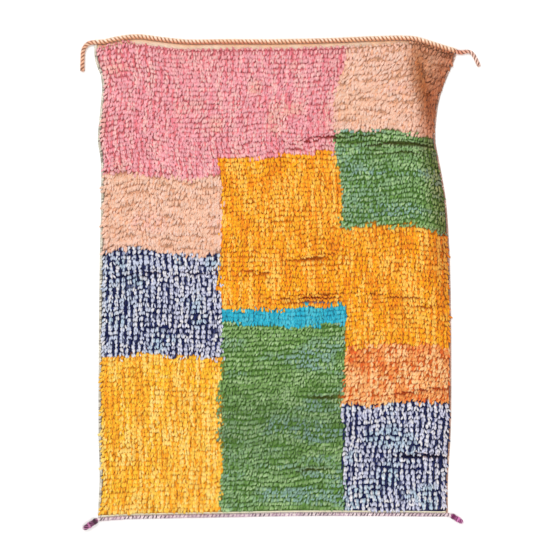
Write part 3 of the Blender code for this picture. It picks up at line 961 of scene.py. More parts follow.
u, v = np.meshgrid(np.linspace(0, 1, RIBS + 1), np.linspace(FOOT_SHARE, HEAD_SHARE, ROWS + 1))
x, y = woven_place(u, v)
inward = ramp(np.minimum(u, 1 - u) * WIDTH, 0, RIM_SLOPE)
top = GROUND_RIM + (face_height(x, y) - GROUND_BELOW_FACE - GROUND_RIM) * inward
blocks = block_at((u - 0.5) * WIDTH / MM, v * LENGTH / MM)
# The face of the ground takes the darker gap shade of each dye, darkened a little more: painted shade down
# among the feet of the pile.
feet = shade_of(blocks, "gap") * shadows(x, y, u)
# Where rows have opened the feet are darker still: painted shade in the opened rows.
feet = FEET_PAINTED_SHADE * feet * (1 - opened(x, y)[..., None] * (1 - SEAM_PAINTED_SHADE))
knots = np.stack([u * RIBS, (v - FOOT_SHARE) / (HEAD_SHARE - FOOT_SHARE) * ROWS], -1)
ground_mesh = slab_mesh("ground_weave", np.stack([x, y], -1), top, feet, shade_of(blocks, "main"), knots)


# %% Weft-faced wool ground
# Natural undyed wool, beaten down hard: matt cream ridges across, and the knots' backs as coloured specks in
# rows. The face has no ridges: there the feet of the locks are packed as rounded lumps, with painted shade
# in the seams between them.
WEFTS_A_ROW = 8
TUFTS_A_RIB = 4.2
TUFTS_A_ROW = 1.4
TUFT_RANDOMNESS = 0.8
WEFT_FUZZ = 2.0
WEFT_DEPTH = 0.4
TUFT_DEPTH = 6.0
SPECK_RANGE = {"From Min": 0.3, "From Max": 0.5}
SEAM_PAINTED_SHADE_RANGE = {"From Min": 0.2, "From Max": 0.75, "To Min": 1.15, "To Max": 0.45}
CREAMS = {"A": (*linear("#CDB68E"), 1), "B": (*linear("#EADBBD"), 1)}


def ground_cloth():
    """Cream weft with ridges of sin(2 pi 8 row), and dyed specks where -cos(2 pi row) |sin(2 pi rib)| is
    high. The face has rounded cells, four across a rib and one or two a row, that fall off with the distance
    to their middle, in height and in colour: their darker edges are painted shade."""
    wool, tree, shader = new_finish("NaturalWoolGround", {"Roughness": 0.92, "Specular IOR Level": 0.2})
    yarn = add_node(tree, "Attribute", attribute_name="yarn")
    lay = add_node(tree, "UVMap", uv_map="Lay")
    parts = add_node(tree, "SeparateXYZ", None, {"Vector": lay})
    ribs = add_node(tree, "Math", {1: 2 * np.pi}, {0: parts.outputs["X"]}, operation="MULTIPLY")
    rows = add_node(tree, "Math", {1: 2 * np.pi}, {0: parts.outputs["Y"]}, operation="MULTIPLY")
    across = add_node(tree, "Math", None, {0: ribs}, operation="SINE")
    loops = add_node(tree, "Math", None, {0: across}, operation="ABSOLUTE")
    upward = add_node(tree, "Math", None, {0: rows}, operation="COSINE")
    lows = add_node(tree, "Math", {1: -1.0}, {0: upward}, operation="MULTIPLY")
    peaks = add_node(tree, "Math", None, {0: lows, 1: loops}, operation="MULTIPLY")
    speck = add_node(tree, "MapRange", SPECK_RANGE, {"Value": peaks})
    face = add_node(tree, "Math", {0: 1.0}, {1: yarn.outputs["Alpha"]}, operation="SUBTRACT")
    dyed_share = add_node(tree, "Math", None, {0: speck, 1: face}, operation="MAXIMUM")
    place = add_node(tree, "TexCoord").outputs["Object"]
    fuzz = add_node(tree, "TexNoise", {"Scale": 1 / (WEFT_FUZZ * MM), "Detail": 3.0}, {"Vector": place})
    cream = add_node(tree, "Mix", CREAMS, {"Factor": fuzz}, data_type="RGBA")
    packed = add_node(tree, "Mapping", {"Scale": (TUFTS_A_RIB, TUFTS_A_ROW, 1)}, {"Vector": lay})
    cells = add_node(tree, "TexVoronoi", {"Scale": 1.0, "Randomness": TUFT_RANDOMNESS}, {"Vector": packed})
    # The cell edges are darker: painted shade in the seams between the lumps.
    seam_painted_shades = add_node(tree, "MapRange", SEAM_PAINTED_SHADE_RANGE, {"Value": cells})
    feet = add_node(tree, "VectorMath", None, {0: yarn, "Scale": seam_painted_shades}, operation="SCALE")
    dyed = add_node(tree, "Mix", None, {"Factor": face, "A": yarn, "B": feet}, data_type="RGBA")
    fleck = add_node(tree, "Mix", None, {"Factor": dyed_share, "A": cream, "B": dyed}, data_type="RGBA")
    picks = add_node(tree, "Math", {1: WEFTS_A_ROW}, {0: rows}, operation="MULTIPLY")
    ridges = add_node(tree, "Math", None, {0: picks}, operation="SINE")
    relief = add_node(tree, "Math", None, {0: ridges, 1: fuzz}, operation="ADD")
    lumps = add_node(tree, "Math", {1: -TUFT_DEPTH}, {0: cells}, operation="MULTIPLY")
    height = add_node(tree, "Mix", None, {"Factor": face, "A": relief, "B": lumps})
    bumps = add_node(tree, "Bump", {"Strength": 0.8, "Distance": WEFT_DEPTH * MM}, {"Height": height})
    tree.links.new(fleck.outputs["Result"], shader.inputs["Base Color"])
    tree.links.new(bumps.outputs["Normal"], shader.inputs["Normal"])
    return wool


ground = add_piece(ground_mesh, ground_cloth())
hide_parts("rug_body")

# %% [markdown]
# ## The plain strips at head and foot
# Above the last row of knots the weaver beats a finger's width of plain weave, and a narrower one at the
# foot. Each weft passes over one warp and under the next, so the surface is a checker of small bumps, which
# a product of two cosines draws well. The strip is cream, browner below the cord, which is painted shade of
# the cord's shadow, and pinkish beside the pile.

# %% Plain woven strips
WARP_PITCH = 6.4 * MM
PICK_PITCH = 2.8 * MM
WEAVE_RELIEF = 0.0005
STRIP_COLUMNS = 340
STRIP_PATCH = 0.03
STRIP_UNEVEN = (-0.25, 0.25)
STRIP_FADE = 1.6
CHECKER_PAINTED_SHADE = 0.1
strip_wool = spun_wool("PlainWeaveWool", 0.2, 0.5, 0.84, 1.1)


def strip_mesh(name, low, high, rows_n, outer, inner):
    """Plain weave between shares low and high of the cloth's length, raised by cos(pi x / warp) cos(pi y /
    pick). It goes from the inner colour at its low edge to the outer one at its high edge."""
    u, v = np.meshgrid(np.linspace(0, 1, STRIP_COLUMNS + 1), np.linspace(low, high, rows_n + 1))
    x, y = woven_place(u, v)
    across = u * WIDTH
    up = v * LENGTH
    checker = np.cos(np.pi * across / WARP_PITCH) * np.cos(np.pi * up / PICK_PITCH)
    top = STRIP_HEIGHT - WEAVE_RELIEF * (1 - checker)
    fade = (v - low) / (high - low) + drift(across, up, STRIP_PATCH, 41, *STRIP_UNEVEN)
    colours = blended(inner, outer, np.maximum(fade, 0) ** STRIP_FADE)
    # The weave is lighter where it is raised and darker in its dips: painted light and shade on the checker.
    colours = colours * (1 + CHECKER_PAINTED_SHADE * checker[..., None]) * shadows(x, y, u)
    return slab_mesh(name, np.stack([x, y], -1), top, colours, colours, np.stack([up, across], -1) / MM)


# The head strip is browner at its outer edge, below the cord: painted shade of the cord.
head_weave = strip_mesh("head_weave", HEAD_SHARE, 1, 12, "#E6B48C", "#DEC8B2")
foot_weave = strip_mesh("foot_weave", 0, FOOT_SHARE, 4, "#F6F0DA", "#F0EACA")
for strip in (head_weave, foot_weave):
    add_piece(strip, strip_wool)

# %% [markdown]
# ## The wrapped edges
# Each side is bound by a yarn wound round and round the outer warps, and the foot is overcast with a
# thicker, slanting one. A bump map could suggest the turns, but they show in outline, so each turn is its
# own arc of yarn over a core.

# %% Arcs of yarn over a core
WRAP_TUCK = 0.14
WRAP_RINGS = 7
WRAP_SIDES = 5
WRAP_OVAL = (0.45, 0.56)
CORE_ACROSS = 0.8 * np.array([0.42, 0.5, 0.33, 0, -0.33, -0.5, -0.42])
CORE_UP = 0.82 * np.array([0, 0.4, 0.86, 1, 0.86, 0.4, 0])


def wrap_rings(middle, heading, width, height, yarn, slant):
    """Yarns laid over a strip: arc f runs from its right edge to its left one as cos(f) across and sin(f)
    up, leans along the strip by slant * cos(f) / 2, and its section is an oval of the yarn's size."""
    f = np.pi * np.linspace(-WRAP_TUCK, 1 + WRAP_TUCK, WRAP_RINGS)
    ahead = lifted(heading, 0)[:, None]
    right = -lifted(left_of(heading), 0)[:, None]
    half = (width / 2 - WRAP_OVAL[0] * yarn)[:, None, None]
    rise = (height - WRAP_OVAL[0] * yarn)[:, None, None]
    lean = (slant[:, None] * np.cos(f) / 2)[..., None] * ahead
    spread = half * np.cos(f)[:, None] * right + rise * np.sin(f)[:, None] * UP
    centre = lifted(middle, 0)[:, None] + spread + lean
    thick, wide = (share * yarn[:, None, None] for share in WRAP_OVAL)
    return yarn_rings(centre, turned_up(right, f), ahead, thick, wide, WRAP_SIDES)


def strip_core(route, beside, widths, height):
    """Rings of a strip with a flat underside and a rounded top, from the solid's own outline, a little
    smaller."""
    flat = route[:, None] + widths[:, None, None] * CORE_ACROSS[:, None] * beside[:, None]
    return lifted(flat, height * CORE_UP)[None]


# %% Side bindings
BINDING_PITCH = 0.0046
WRAP_UNEVEN = 0.08
WRAP_FULLER = 0.03
FLECKS = 0.12
BINDING_PATCH = 0.014
BINDING_UNEVEN = (-0.2, 1.2)
WRAP_STRAY = 0.25
CORE_EVERY = 8
CORE_PAINTED_SHADE = 0.6
Binding = namedtuple("Binding", "node side slot first second fleck")
BINDINGS = (
    Binding("selvage_left", -1, "cream_binding", "#E6DFCE", "#BEB6A2", "#8A8074"),
    Binding("selvage_right", 1, "tan_binding", "#C79A86", "#A07460", "#DDBBA8"),
)


def bind_side(binding):
    """Wraps one side of the rug from its foot edge to just below the head cord, over a core of its own."""
    rng = np.random.default_rng(51 + binding.side)
    foot_y = woven_place((binding.side + 1) / 2, 0.0)[1]
    head_y = woven_place((binding.side + 1) / 2, 1.0)[1]
    outer = side_edge(head_y, binding.side)
    top_y = cord_line(outer) - slanted(CORD_DIAMETER / 2 + GAP, cord_line, outer)
    wraps_n = int((top_y - foot_y) / BINDING_PITCH)
    wrap_y = np.linspace(foot_y + BINDING_PITCH / 2, top_y - BINDING_PITCH / 2, wraps_n)
    widths = slanted(BINDING_WIDTHS[binding.side], side_edge, wrap_y, binding.side)
    line = np.stack([side_edge(wrap_y, binding.side) - binding.side * widths / 2, wrap_y], 1)
    yarn = BINDING_PITCH * rng.normal(1, WRAP_UNEVEN, wraps_n)
    full = rng.normal(1, WRAP_FULLER, wraps_n)
    lean = BINDING_PITCH * rng.normal(0.5, WRAP_STRAY, wraps_n)
    square_width = BINDING_WIDTHS[binding.side] * full
    ahead = unit(np.gradient(line, axis=0))
    rings = wrap_rings(line, ahead, square_width, BINDING_HEIGHT * full, yarn, lean)
    patch = drift(wrap_y, 0 * wrap_y, BINDING_PATCH, 61, *BINDING_UNEVEN)
    patch = patch + rng.uniform(-WRAP_STRAY, WRAP_STRAY, wraps_n)
    shades = blended(binding.first, binding.second, patch)
    shades[rng.random(wraps_n) < FLECKS] = linear(binding.fleck)
    wraps_mesh = tube_mesh(binding.node + "_wraps", rings, shades[:, None, None])
    wraps = add_piece(wraps_mesh, edge_wool)
    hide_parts(binding.node)
    core_line = line[::CORE_EVERY]
    level = np.tile([-1.0, 0.0], (len(core_line), 1))
    core = strip_core(core_line, level, widths[::CORE_EVERY], BINDING_HEIGHT)
    # The core shows only between the wraps, and it is darker: painted shade between them.
    filling = tube_mesh(binding.node + "_core", core, CORE_PAINTED_SHADE * linear(binding.second), walls_a_cell=6)
    add_piece(filling, edge_wool)


for binding in BINDINGS:
    bind_side(binding)

# %% Overcast foot edge
FOOT_PITCH = 0.0054
FOOT_SLANT = 0.0045
FOOT_STRAY = 0.3
FOOT_PATCH = 0.03
FOOT_CORE_EVERY = 4
FOOT_CORE_PAINTED_SHADE = 0.5

rng = np.random.default_rng(71)
x = np.linspace(*FOOT_EDGE_ENDS, CORD_POINTS) * WIDTH
foot_route, foot_along = even_route(np.stack([x, foot_line(x) + FOOT_EDGE_WIDTH / 2], 1), FOOT_PITCH)
beside = square_to(foot_route)
wraps_n = len(foot_route)
full = rng.normal(1, WRAP_FULLER, wraps_n)
rings = wrap_rings(
    foot_route,
    -left_of(beside),
    FOOT_EDGE_WIDTH * full,
    FOOT_EDGE_HEIGHT * full,
    FOOT_PITCH * rng.normal(1, WRAP_UNEVEN, wraps_n),
    FOOT_SLANT * rng.normal(1, FOOT_STRAY, wraps_n),
)
patch = drift(foot_along, 0 * foot_along, FOOT_PATCH, 72) + rng.uniform(-FOOT_STRAY, FOOT_STRAY, wraps_n)
shades = blended("#F2E2E2", "#D9C0C6", patch)
foot_wraps = add_piece(tube_mesh("foot_edge_wraps", rings, shades[:, None, None]), edge_wool)
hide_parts("foot_edge")
core_line = foot_route[::FOOT_CORE_EVERY]
core_widths = np.full(len(core_line), FOOT_EDGE_WIDTH)
core = strip_core(core_line, beside[::FOOT_CORE_EVERY], core_widths, FOOT_EDGE_HEIGHT)
# The core shows only between the wraps, and it is darker: painted shade between them.
filling = tube_mesh("foot_edge_core", core, FOOT_CORE_PAINTED_SHADE * linear("#C9A0AE"), walls_a_cell=8)
add_piece(filling, edge_wool)

# %% Mauve stitches over the foot edge
STITCHES = 88
STITCH_STRAY = 0.22
STITCH_LENGTH = 0.0112
STITCH_YARN = 0.0031
STITCH_SLANT = 60
SLANT_STRAY = 9
STITCH_RAISE = 0.0003
STITCH_DIP = 0.0035
STITCH_TAPER = np.array([0.6, 1, 1.1, 1, 0.6])
STITCH_PATCH = 0.05
STITCH_FADE = (-0.35, 1.35)
FADE_STRAY = 0.25

stray = rng.uniform(-STITCH_STRAY, STITCH_STRAY, STITCHES)
at = (np.arange(STITCHES) + 0.5 + stray) / STITCHES * foot_along[-1]
centre = np.stack([np.interp(at, foot_along, foot_route[:, k]) for k in (0, 1)], 1)
lean = np.radians(rng.normal(STITCH_SLANT, SLANT_STRAY, STITCHES))
ahead = np.stack([np.cos(lean), np.sin(lean)], 1)
t = np.linspace(-0.5, 0.5, len(STITCH_TAPER))
above = FOOT_EDGE_HEIGHT + STITCH_RAISE - STITCH_DIP * (2 * t) ** 4
middle = lifted(centre[:, None] + STITCH_LENGTH * t[:, None] * ahead[:, None], above)
thick = STITCH_YARN / 2 * STITCH_TAPER[:, None]
rings = yarn_rings(middle, lifted(left_of(ahead), 0)[:, None], UP, thick, thick, 4)
fade = drift(at, 0 * at, STITCH_PATCH, 73, *STITCH_FADE) + rng.uniform(-FADE_STRAY, FADE_STRAY, STITCHES)
shades = blended("#3C2438", "#AC84A0", fade)
add_piece(tube_mesh("foot_edge_stitches", rings, shades[:, None, None]), edge_wool)

# %% [markdown]
# ## The bound stubs at the foot corners
# The warp ends left at each foot corner are twisted into a short stub and bound. It could be one knobbly
# tube, but its strands show as slanting lines, so ten strands wind round a core, with turns of binding yarn
# over them.

# %% Sizes and colours of the stubs
Stub = namedtuple("Stub", "name side length heading radius slot dark light tip")
STUBS = (
    Stub("tassel_left", -1, 0.056, 213, 0.0088, "plum_wool", "#42102F", "#BC6E9E", "#F2DCE6"),
    Stub("tassel_right", 1, 0.046, -32, 0.0080, "magenta_wool", "#6E1650", "#D47CB6", "#F0D2E4"),
)
TASSEL_PROFILE = (0.50, 0.82, 0.90, 1.0, 0.95, 1.0, 0.94, 1.0, 0.93, 0.97, 0.88, 0.62)
TASSEL_LIFT = 0.92
STUB_RINGS = 20
TIP_START = 0.86
TIP_RAMP = 0.1


def stub_ways(stub):
    """Level directions along a stub and to its left."""
    turn = np.radians(stub.heading)
    ahead = np.array([np.cos(turn), np.sin(turn)])
    return lifted(ahead, 0), lifted(left_of(ahead), 0)


def stub_points(stub, share, radius):
    """Points of a stub's middle line at shares of its length, lifted by TASSEL_LIFT of its radius there. It
    starts beside the end of the foot edge."""
    ahead = stub_ways(stub)[0][:2]
    end_x = WIDTH * FOOT_EDGE_ENDS[0 if stub.side < 0 else 1]
    clear = GAP + stub.radius * TASSEL_PROFILE[0] * abs(ahead[1])
    root = np.array([end_x + stub.side * clear, foot_line(end_x) + FOOT_EDGE_WIDTH / 2])
    return lifted(root + stub.length * share[..., None] * ahead, radius * TASSEL_LIFT)


# %% Strands of a stub
STUB_STRANDS = 10
STUB_TURNS = 1.1
STRAND_ORBIT = 0.72
STRAND_RADIUS = 0.30
STRAND_TAPER = 0.8
STRAND_LENGTHS = (0.93, 1.0)
LIGHT_SHARES = (0.4, 1)


def strands_mesh(stub, t, radius):
    """Strands that wind round a stub: strand k is at angle 2 pi (k / strands + turns * t). Every second one
    is lighter, and all end in the colour of the tip."""
    rng = np.random.default_rng(81)
    ahead, aside = stub_ways(stub)
    reach = t * rng.uniform(*STRAND_LENGTHS, STUB_STRANDS)[:, None]
    out = turned_up(aside, 2 * np.pi * (np.arange(STUB_STRANDS)[:, None] / STUB_STRANDS + STUB_TURNS * t))
    middle = stub_points(stub, reach, radius) + (STRAND_ORBIT * radius)[:, None] * out
    thick = (STRAND_RADIUS * radius * np.linspace(1, STRAND_TAPER, STUB_RINGS))[:, None]
    rings = yarn_rings(middle, out, np.cross(ahead, out), thick, thick, 6)
    lighter = (np.arange(STUB_STRANDS) % 2) * rng.uniform(*LIGHT_SHARES, STUB_STRANDS)
    shades = blended(stub.dark, stub.light, lighter)[:, None]
    shades = mixed(shades, linear(stub.tip), ramp(t, TIP_START, TIP_RAMP)[:, None])
    return tube_mesh(stub.name + "_strands", rings, shades[:, :, None], walls_a_cell=10)


# %% Core and bindings of a stub
CORE_LENGTH = 0.985
CORE_RADIUS = 0.74
STUB_CORE_PAINTED_SHADE = (0.6, 0.8)
DOME_END = 1.02
DOME_RAMP = 0.12
BIND_STRETCHES = ((0.08, 0.24, 3.4), (0.50, 0.60, 2.2))
BIND_YARN = 0.0026
BIND_RAISE = 0.1
BIND_RINGS = 60


def core_mesh(stub, t, radius):
    """A core that fills a stub under its strands, with an end that is domed as a square root."""
    middle = stub_points(stub, CORE_LENGTH * t, radius)
    domed = (CORE_RADIUS * radius * np.sqrt(ramp(t, DOME_END, -DOME_RAMP)))[:, None]
    rings = yarn_rings(middle, stub_ways(stub)[1], UP, domed, domed, 10)
    # The core shows only between the strands, and it is darker: painted shade between them.
    dark, tip = STUB_CORE_PAINTED_SHADE[0] * linear(stub.dark), STUB_CORE_PAINTED_SHADE[1] * linear(stub.tip)
    shades = mixed(dark, tip, ramp(t, TIP_START, TIP_RAMP)[:, None])
    return tube_mesh(stub.name + "_core", rings[None], shades[None, :, None])


def binding_mesh(stub, place, t, radius):
    """Binding yarn wound over the strands: a helix of so many turns between two shares of the stub's
    length."""
    low, high, turns = BIND_STRETCHES[place]
    share = np.linspace(low, high, BIND_RINGS)
    size = np.interp(share, t, radius)
    out = turned_up(stub_ways(stub)[1], np.linspace(0, 2 * np.pi * turns, BIND_RINGS))
    middle = stub_points(stub, share, size) + (size + BIND_RAISE * BIND_YARN)[:, None] * out
    across = np.cross(unit(np.gradient(middle, axis=0)), out)
    rings = yarn_rings(middle, out, across, BIND_YARN / 2, BIND_YARN / 2, 6)
    shade = linear(stub.light if place else stub.dark)
    return tube_mesh(f"{stub.name}_binding_{place}", rings[None], shade, walls_a_cell=8)


for stub in STUBS:
    t = np.linspace(0, 1, STUB_RINGS)
    radius = stub.radius * np.interp(t, np.linspace(0, 1, len(TASSEL_PROFILE)), TASSEL_PROFILE)
    strands = add_piece(strands_mesh(stub, t, radius), edge_wool)
    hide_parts(stub.name)
    add_piece(core_mesh(stub, t, radius), edge_wool)
    for place in range(len(BIND_STRETCHES)):
        add_piece(binding_mesh(stub, place, t, radius), edge_wool)

# %% [markdown]
# ## The pile
# Each knot leaves ends of thick yarn that stand up from the ground and fall towards the foot, one row over
# the next. It could be hair particles or a bump map, but the ends are nearly as thick as a pencil and show
# one by one. So each end is a closed tube of four sides and four rings. Three stand on each rib and a
# fourth lies in the gap beside it.

# %% Rib, row and block of each lock, as whole arrays
# Rows and ribs aren't evenly spaced: rows are beaten down more in some places, and ribs are wider at the
# sides. Below the head cord the last rows are lifted by some millimetres, more at some places along it than
# at others.
STRANDS = 4
PILE_FOOT = 13
PILE_HEAD = 1464
ROW_PITCH = (PILE_HEAD - PILE_FOOT) / ROWS
HEAD_LIFT_ROWS = 8
HEAD_LIFTS_AT = (0.055, 0.085, 0.115, 0.45, 0.72, 0.84, 0.88)
HEAD_LIFTS = (14, 14, 0.5, 2.5, 5, 8, 15)
ROW_STRAY = 0.9
ROW_STRAY_SIZE = 8.0
RIB_STRAY = 0.35
RIB_STRAY_SIZE = 6.0
RIB_SWING = 0.6
CALM_ROWS = 8
CALM_RIBS = 4
BLOCK_BLUR = (2.5, 3)

rng = np.random.default_rng(7)
rib, row, strand = np.indices((RIBS, ROWS, STRANDS)).reshape(3, -1)
locks_n = len(rib)
in_gap = strand == STRANDS - 1
at_head = row == ROWS - 1
from_ends = ramp(np.minimum(row, ROWS - 1 - row), 0, CALM_ROWS)
from_sides = ramp(np.minimum(rib, RIBS - 1 - rib), 0, CALM_RIBS)
row_stray = drift(rib, row, ROW_STRAY_SIZE, 99, -ROW_STRAY, ROW_STRAY) * from_ends
rib_stray = drift(rib, row, RIB_STRAY_SIZE, 94, -RIB_STRAY, RIB_STRAY) * from_sides
rib_stray = rib_stray + RIB_SWING * np.sin(2 * np.pi * (rib + 0.5) / RIBS)
share_across = (rib + np.where(in_gap, 1.0, 0.5) + rib_stray) / RIBS
near_head = ramp(row + 1, ROWS - HEAD_LIFT_ROWS, HEAD_LIFT_ROWS)
head_lift = np.interp(share_across, HEAD_LIFTS_AT, HEAD_LIFTS) * near_head
q = PILE_FOOT + ROW_PITCH * (row + 0.5 + row_stray) + head_lift
p = (share_across - 0.5) * WIDTH / MM
block = block_at(p + rng.normal(0, BLOCK_BLUR[0], locks_n), q + rng.normal(0, BLOCK_BLUR[1], locks_n))


def of_block(name, table=DYES):
    """That value of each lock's dye, or of how its ends lie."""
    return np.array([getattr(table[b.dye], name) for b in BLOCKS])[block]


# %% Root and heading of each lock
# Strays are shares of a rib, of a row or radians. Locks near a side fall out over its binding.
WAVE_SIZE = 2.3
WANDER_SIZE = 1.7
STRAND_STEP = 0.2
ODD_SHIFT = 0.08
ASIDE_STRAY = 0.04
ALONG_STRAY = 0.07
EDGE_RIB = 0.25
LOWEST_ROOT = 15
A_LITTLE_DOWN = 0.004
LEAN_STRAY = 0.18
SLANTED_LOCKS = 0.5
LESS_SLANT = 0.2
FALL_OUT = 0.9
FALL_OUT_WIDTH = 0.013

wave = of_block("wave", LIES) * drift(rib, row, WAVE_SIZE, 96, -1, 1)
aside_share = np.where(in_gap, 0.5, (strand - 1) * of_block("spread", LIES))
aside_share = aside_share + wave + rng.normal(0, ASIDE_STRAY, locks_n)
u = np.clip((rib + 0.5 + rib_stray + aside_share) / RIBS, EDGE_RIB / RIBS, 1 - EDGE_RIB / RIBS)
along_row = of_block("run", LIES) * (rib + STRAND_STEP * strand)
wander = of_block("wander", LIES) * drift(along_row, row, WANDER_SIZE, 97, -1, 1)
row_shift = np.where(in_gap, of_block("gap_shift", LIES), ODD_SHIFT * (strand % 2))
row_shift = row_shift + wander * ~at_head + rng.normal(0, ALONG_STRAY, locks_n)
v = np.maximum(q + row_shift * ROW_PITCH, LOWEST_ROOT) * MM / LENGTH
x, y = woven_place(u, v)
below = np.stack(woven_place(u, v - A_LITTLE_DOWN), 1) - np.stack([x, y], 1)
side_distance = np.minimum(u, 1 - u) * WIDTH
falls_out = np.sign(u - 0.5) * bell(side_distance, FALL_OUT_WIDTH) * rng.uniform(0, FALL_OUT, locks_n)
lean = rng.normal(0, LEAN_STRAY, locks_n)
lean = lean + of_block("slant", LIES) * np.where(rng.random(locks_n) < SLANTED_LOCKS, 1, LESS_SLANT)
down = np.arctan2(below[:, 1], below[:, 0]) + lean + falls_out
heading = np.stack([np.cos(down), np.sin(down)], 1)
print(locks_n, "locks in", RIBS, "ribs and", ROWS, "rows")

# %% Locks that fall short at an opened row
# Folding has opened the pile between two rows here and there, mostly in the creases. There the ends of the
# row above stay short of the row below, and its feet show as a thin broken line, painted dark red-brown as
# the shade in the opened row. Roots lie SHORT_ABOVE the line itself.
OPEN_SHORT = 0.6
SHORT_ABOVE = 0.011
BREAK_RIBS = 3
BREAK_STEP = 0.1
BREAK_SIZE = 1.3
BREAK_RAMP = (0.175, 0.25)
SEAM_EVEN = 0.2
MUCH_SHORT = 0.4

broken = ramp(drift(rib / BREAK_RIBS + BREAK_STEP * strand, row, BREAK_SIZE, 95), *BREAK_RAMP)
short = opened(x, y - SHORT_ABOVE) * broken
seam = opened(x, y - SHORT_ABOVE + ROW_PITCH * MM) * np.minimum(broken + SEAM_EVEN, 1)
print(int((short > MUCH_SHORT).sum()), "locks fall short at an opened row")

# %% How high, long and thick each lock is
ROOT_HEIGHT = 0.0026
SIDE_DROP = 0.0035
SIDE_DROP_WIDTH = 0.010
OUTER_STRAND_DROP = 0.0006
TOP_STRAY = 0.0006
GAP_TOP_STRAY = 0.0007
REACH_STRAY = 0.14
UP_REACH = (0.003, 0.008)
WIDTH_STRAY = 0.13
THICK_STRAY = 0.08
GAP_THINNER = 0.9
SWAY = 0.0015

side_drop = SIDE_DROP * bell(side_distance, SIDE_DROP_WIDTH)
gap_rise = of_block("gap_height", LIES) * MM + rng.normal(0, GAP_TOP_STRAY, locks_n)
rib_rise = np.where(in_gap, gap_rise, RIB_RELIEF / 2 - OUTER_STRAND_DROP * (strand != 1))
top = face_height(x, y) + rib_rise - side_drop + rng.normal(0, TOP_STRAY, locks_n)
reach = of_block("reach", LIES) * MM * rng.normal(1, REACH_STRAY, locks_n) * (1 - OPEN_SHORT * short)
leans_up = at_head & (strand % 2 == 1)
reach = np.where(leans_up, -rng.uniform(*UP_REACH, locks_n), reach)
half_width = of_block("width", LIES) * MM * rng.normal(1, WIDTH_STRAY, locks_n)
half_thick = of_block("thick", LIES) * MM * np.where(in_gap, GAP_THINNER, 1.0)
half_thick = half_thick * rng.normal(1, THICK_STRAY, locks_n)
sway = rng.normal(0, SWAY, locks_n)
print("pile tops from", round(top.min() / MM, 1), "to", round(top.max() / MM, 1), "mm")

# %% The shape of a lock
LOCK_AT = np.array([0, 0.36, 0.72, 1.0])
LOCK_WIDTHS = np.array([0.66, 0.97, 1.0, 0.68])
LOCK_THICKS = np.array([0.8, 1.0, 0.98, 0.66])
LOCK_TOP = 0.74
TIP_SAG = 0.9
LOWEST = 0.0008


def lock_rings(part):
    """Rings of the chosen locks: forward as reach t^1.5, aside as sway t^2, and up as sin(pi / 2 * t /
    LOCK_TOP) as far as LOCK_TOP, from where the tip sags evenly. The section is a diamond that swells from
    the root and tapers."""
    t = LOCK_AT
    rise = top[part] - half_thick[part] - ROOT_HEIGHT
    forward = reach[part][:, None] * t**1.5
    bend = np.sin(np.pi / 2 * np.minimum(t / LOCK_TOP, 1)) - TIP_SAG * np.maximum(t - LOCK_TOP, 0)
    up = ROOT_HEIGHT + rise[:, None] * bend
    ahead = heading[part][:, None]
    aside = left_of(ahead)
    flat = np.stack([x, y], 1)[part][:, None] + forward[..., None] * ahead
    flat = flat + (sway[part][:, None] * t**2)[..., None] * aside
    slope = unit(np.stack([np.gradient(forward, axis=1), np.gradient(up, axis=1)], -1))
    over = np.concatenate([-slope[..., 1:] * ahead, slope[..., :1]], 2)
    wide = (half_width[part][:, None] * LOCK_WIDTHS)[..., None]
    thick = (half_thick[part][:, None] * LOCK_THICKS)[..., None]
    return yarn_rings(lifted(flat, up), lifted(aside, 0), over, wide, thick, 4, LOWEST)


# %% How light each lock is, and which of its dye's shades it takes
# Streaks, a share of its own for each knot and plain chance add up to its lightness. The odd numbers in
# each share spread it evenly over ribs and rows.
STREAK_SHARE = 0.6
KNOT_SHARE = 0.18
CHANCE_SHARE = 0.22
RIDGE_PAINTED_LIGHT = 0.10
GAP_PAINTED_SHADE = 0.08
SHADE_RAMP = 1 / 6
PATCH_RAMP = 1 / 4
WIDE_PATCH = (0.13, 0.026)
ROUND_PATCH = (0.06, 0.06)
BATCH_SIZE = 0.25
BATCH_RANGE = (-0.35, 0.55)
BATCH_MIDDLE = 0.1
KNOT_STEPS = (0.7549, 0.5698, 0.3)
LOW_STEPS = (0.37, 0.618, 0.4)

streak_size = of_block("streak") * MM
knot = (KNOT_STEPS[0] * rib + KNOT_STEPS[1] * row + rng.uniform(0, KNOT_STEPS[2], locks_n)) % 1
lightness = STREAK_SHARE * drift(x / streak_size[:, 0], y / streak_size[:, 1], 1, 91) + KNOT_SHARE * knot
lightness = lightness + CHANCE_SHARE * rng.random(locks_n)
# The middle, highest end of each rib is lighter and the ends in the gaps darker: painted light on the ridges
# and painted shade between the ribs.
lightness = lightness + RIDGE_PAINTED_LIGHT * (strand == 1) - GAP_PAINTED_SHADE * in_gap
lighter = ramp(lightness, 1 - of_block("lights"), SHADE_RAMP)
deeper = ramp(lightness, of_block("deeps"), -SHADE_RAMP)
runs_across = streak_size[:, 0] > streak_size[:, 1]
patch_size = np.where(runs_across[:, None], WIDE_PATCH, ROUND_PATCH)
patchy = ramp(drift(x / patch_size[:, 0], y / patch_size[:, 1], 1, 93), 1 - of_block("patches"), PATCH_RAMP)
low_place = (LOW_STEPS[0] * rib + LOW_STEPS[1] * row + rng.uniform(0, LOW_STEPS[2], locks_n)) % 1
low_yarn = in_gap & (low_place < of_block("gaps"))
batch = drift(x, y, BATCH_SIZE, 98, *BATCH_RANGE)

# %% The colour of each lock
# Painted shade and light on each lock: its lower rings turn towards the darker gap shade of its dye and are
# a little darker, and its tip is a little lighter.
RING_PAINTED_SHADES = np.array([0.95, 1.0, 1.0, 1.02])[:, None, None]
ROOT_PAINTED_SHADE_SHARES = np.array([0.85, 0.35, 0.0, 0.0])[:, None, None]
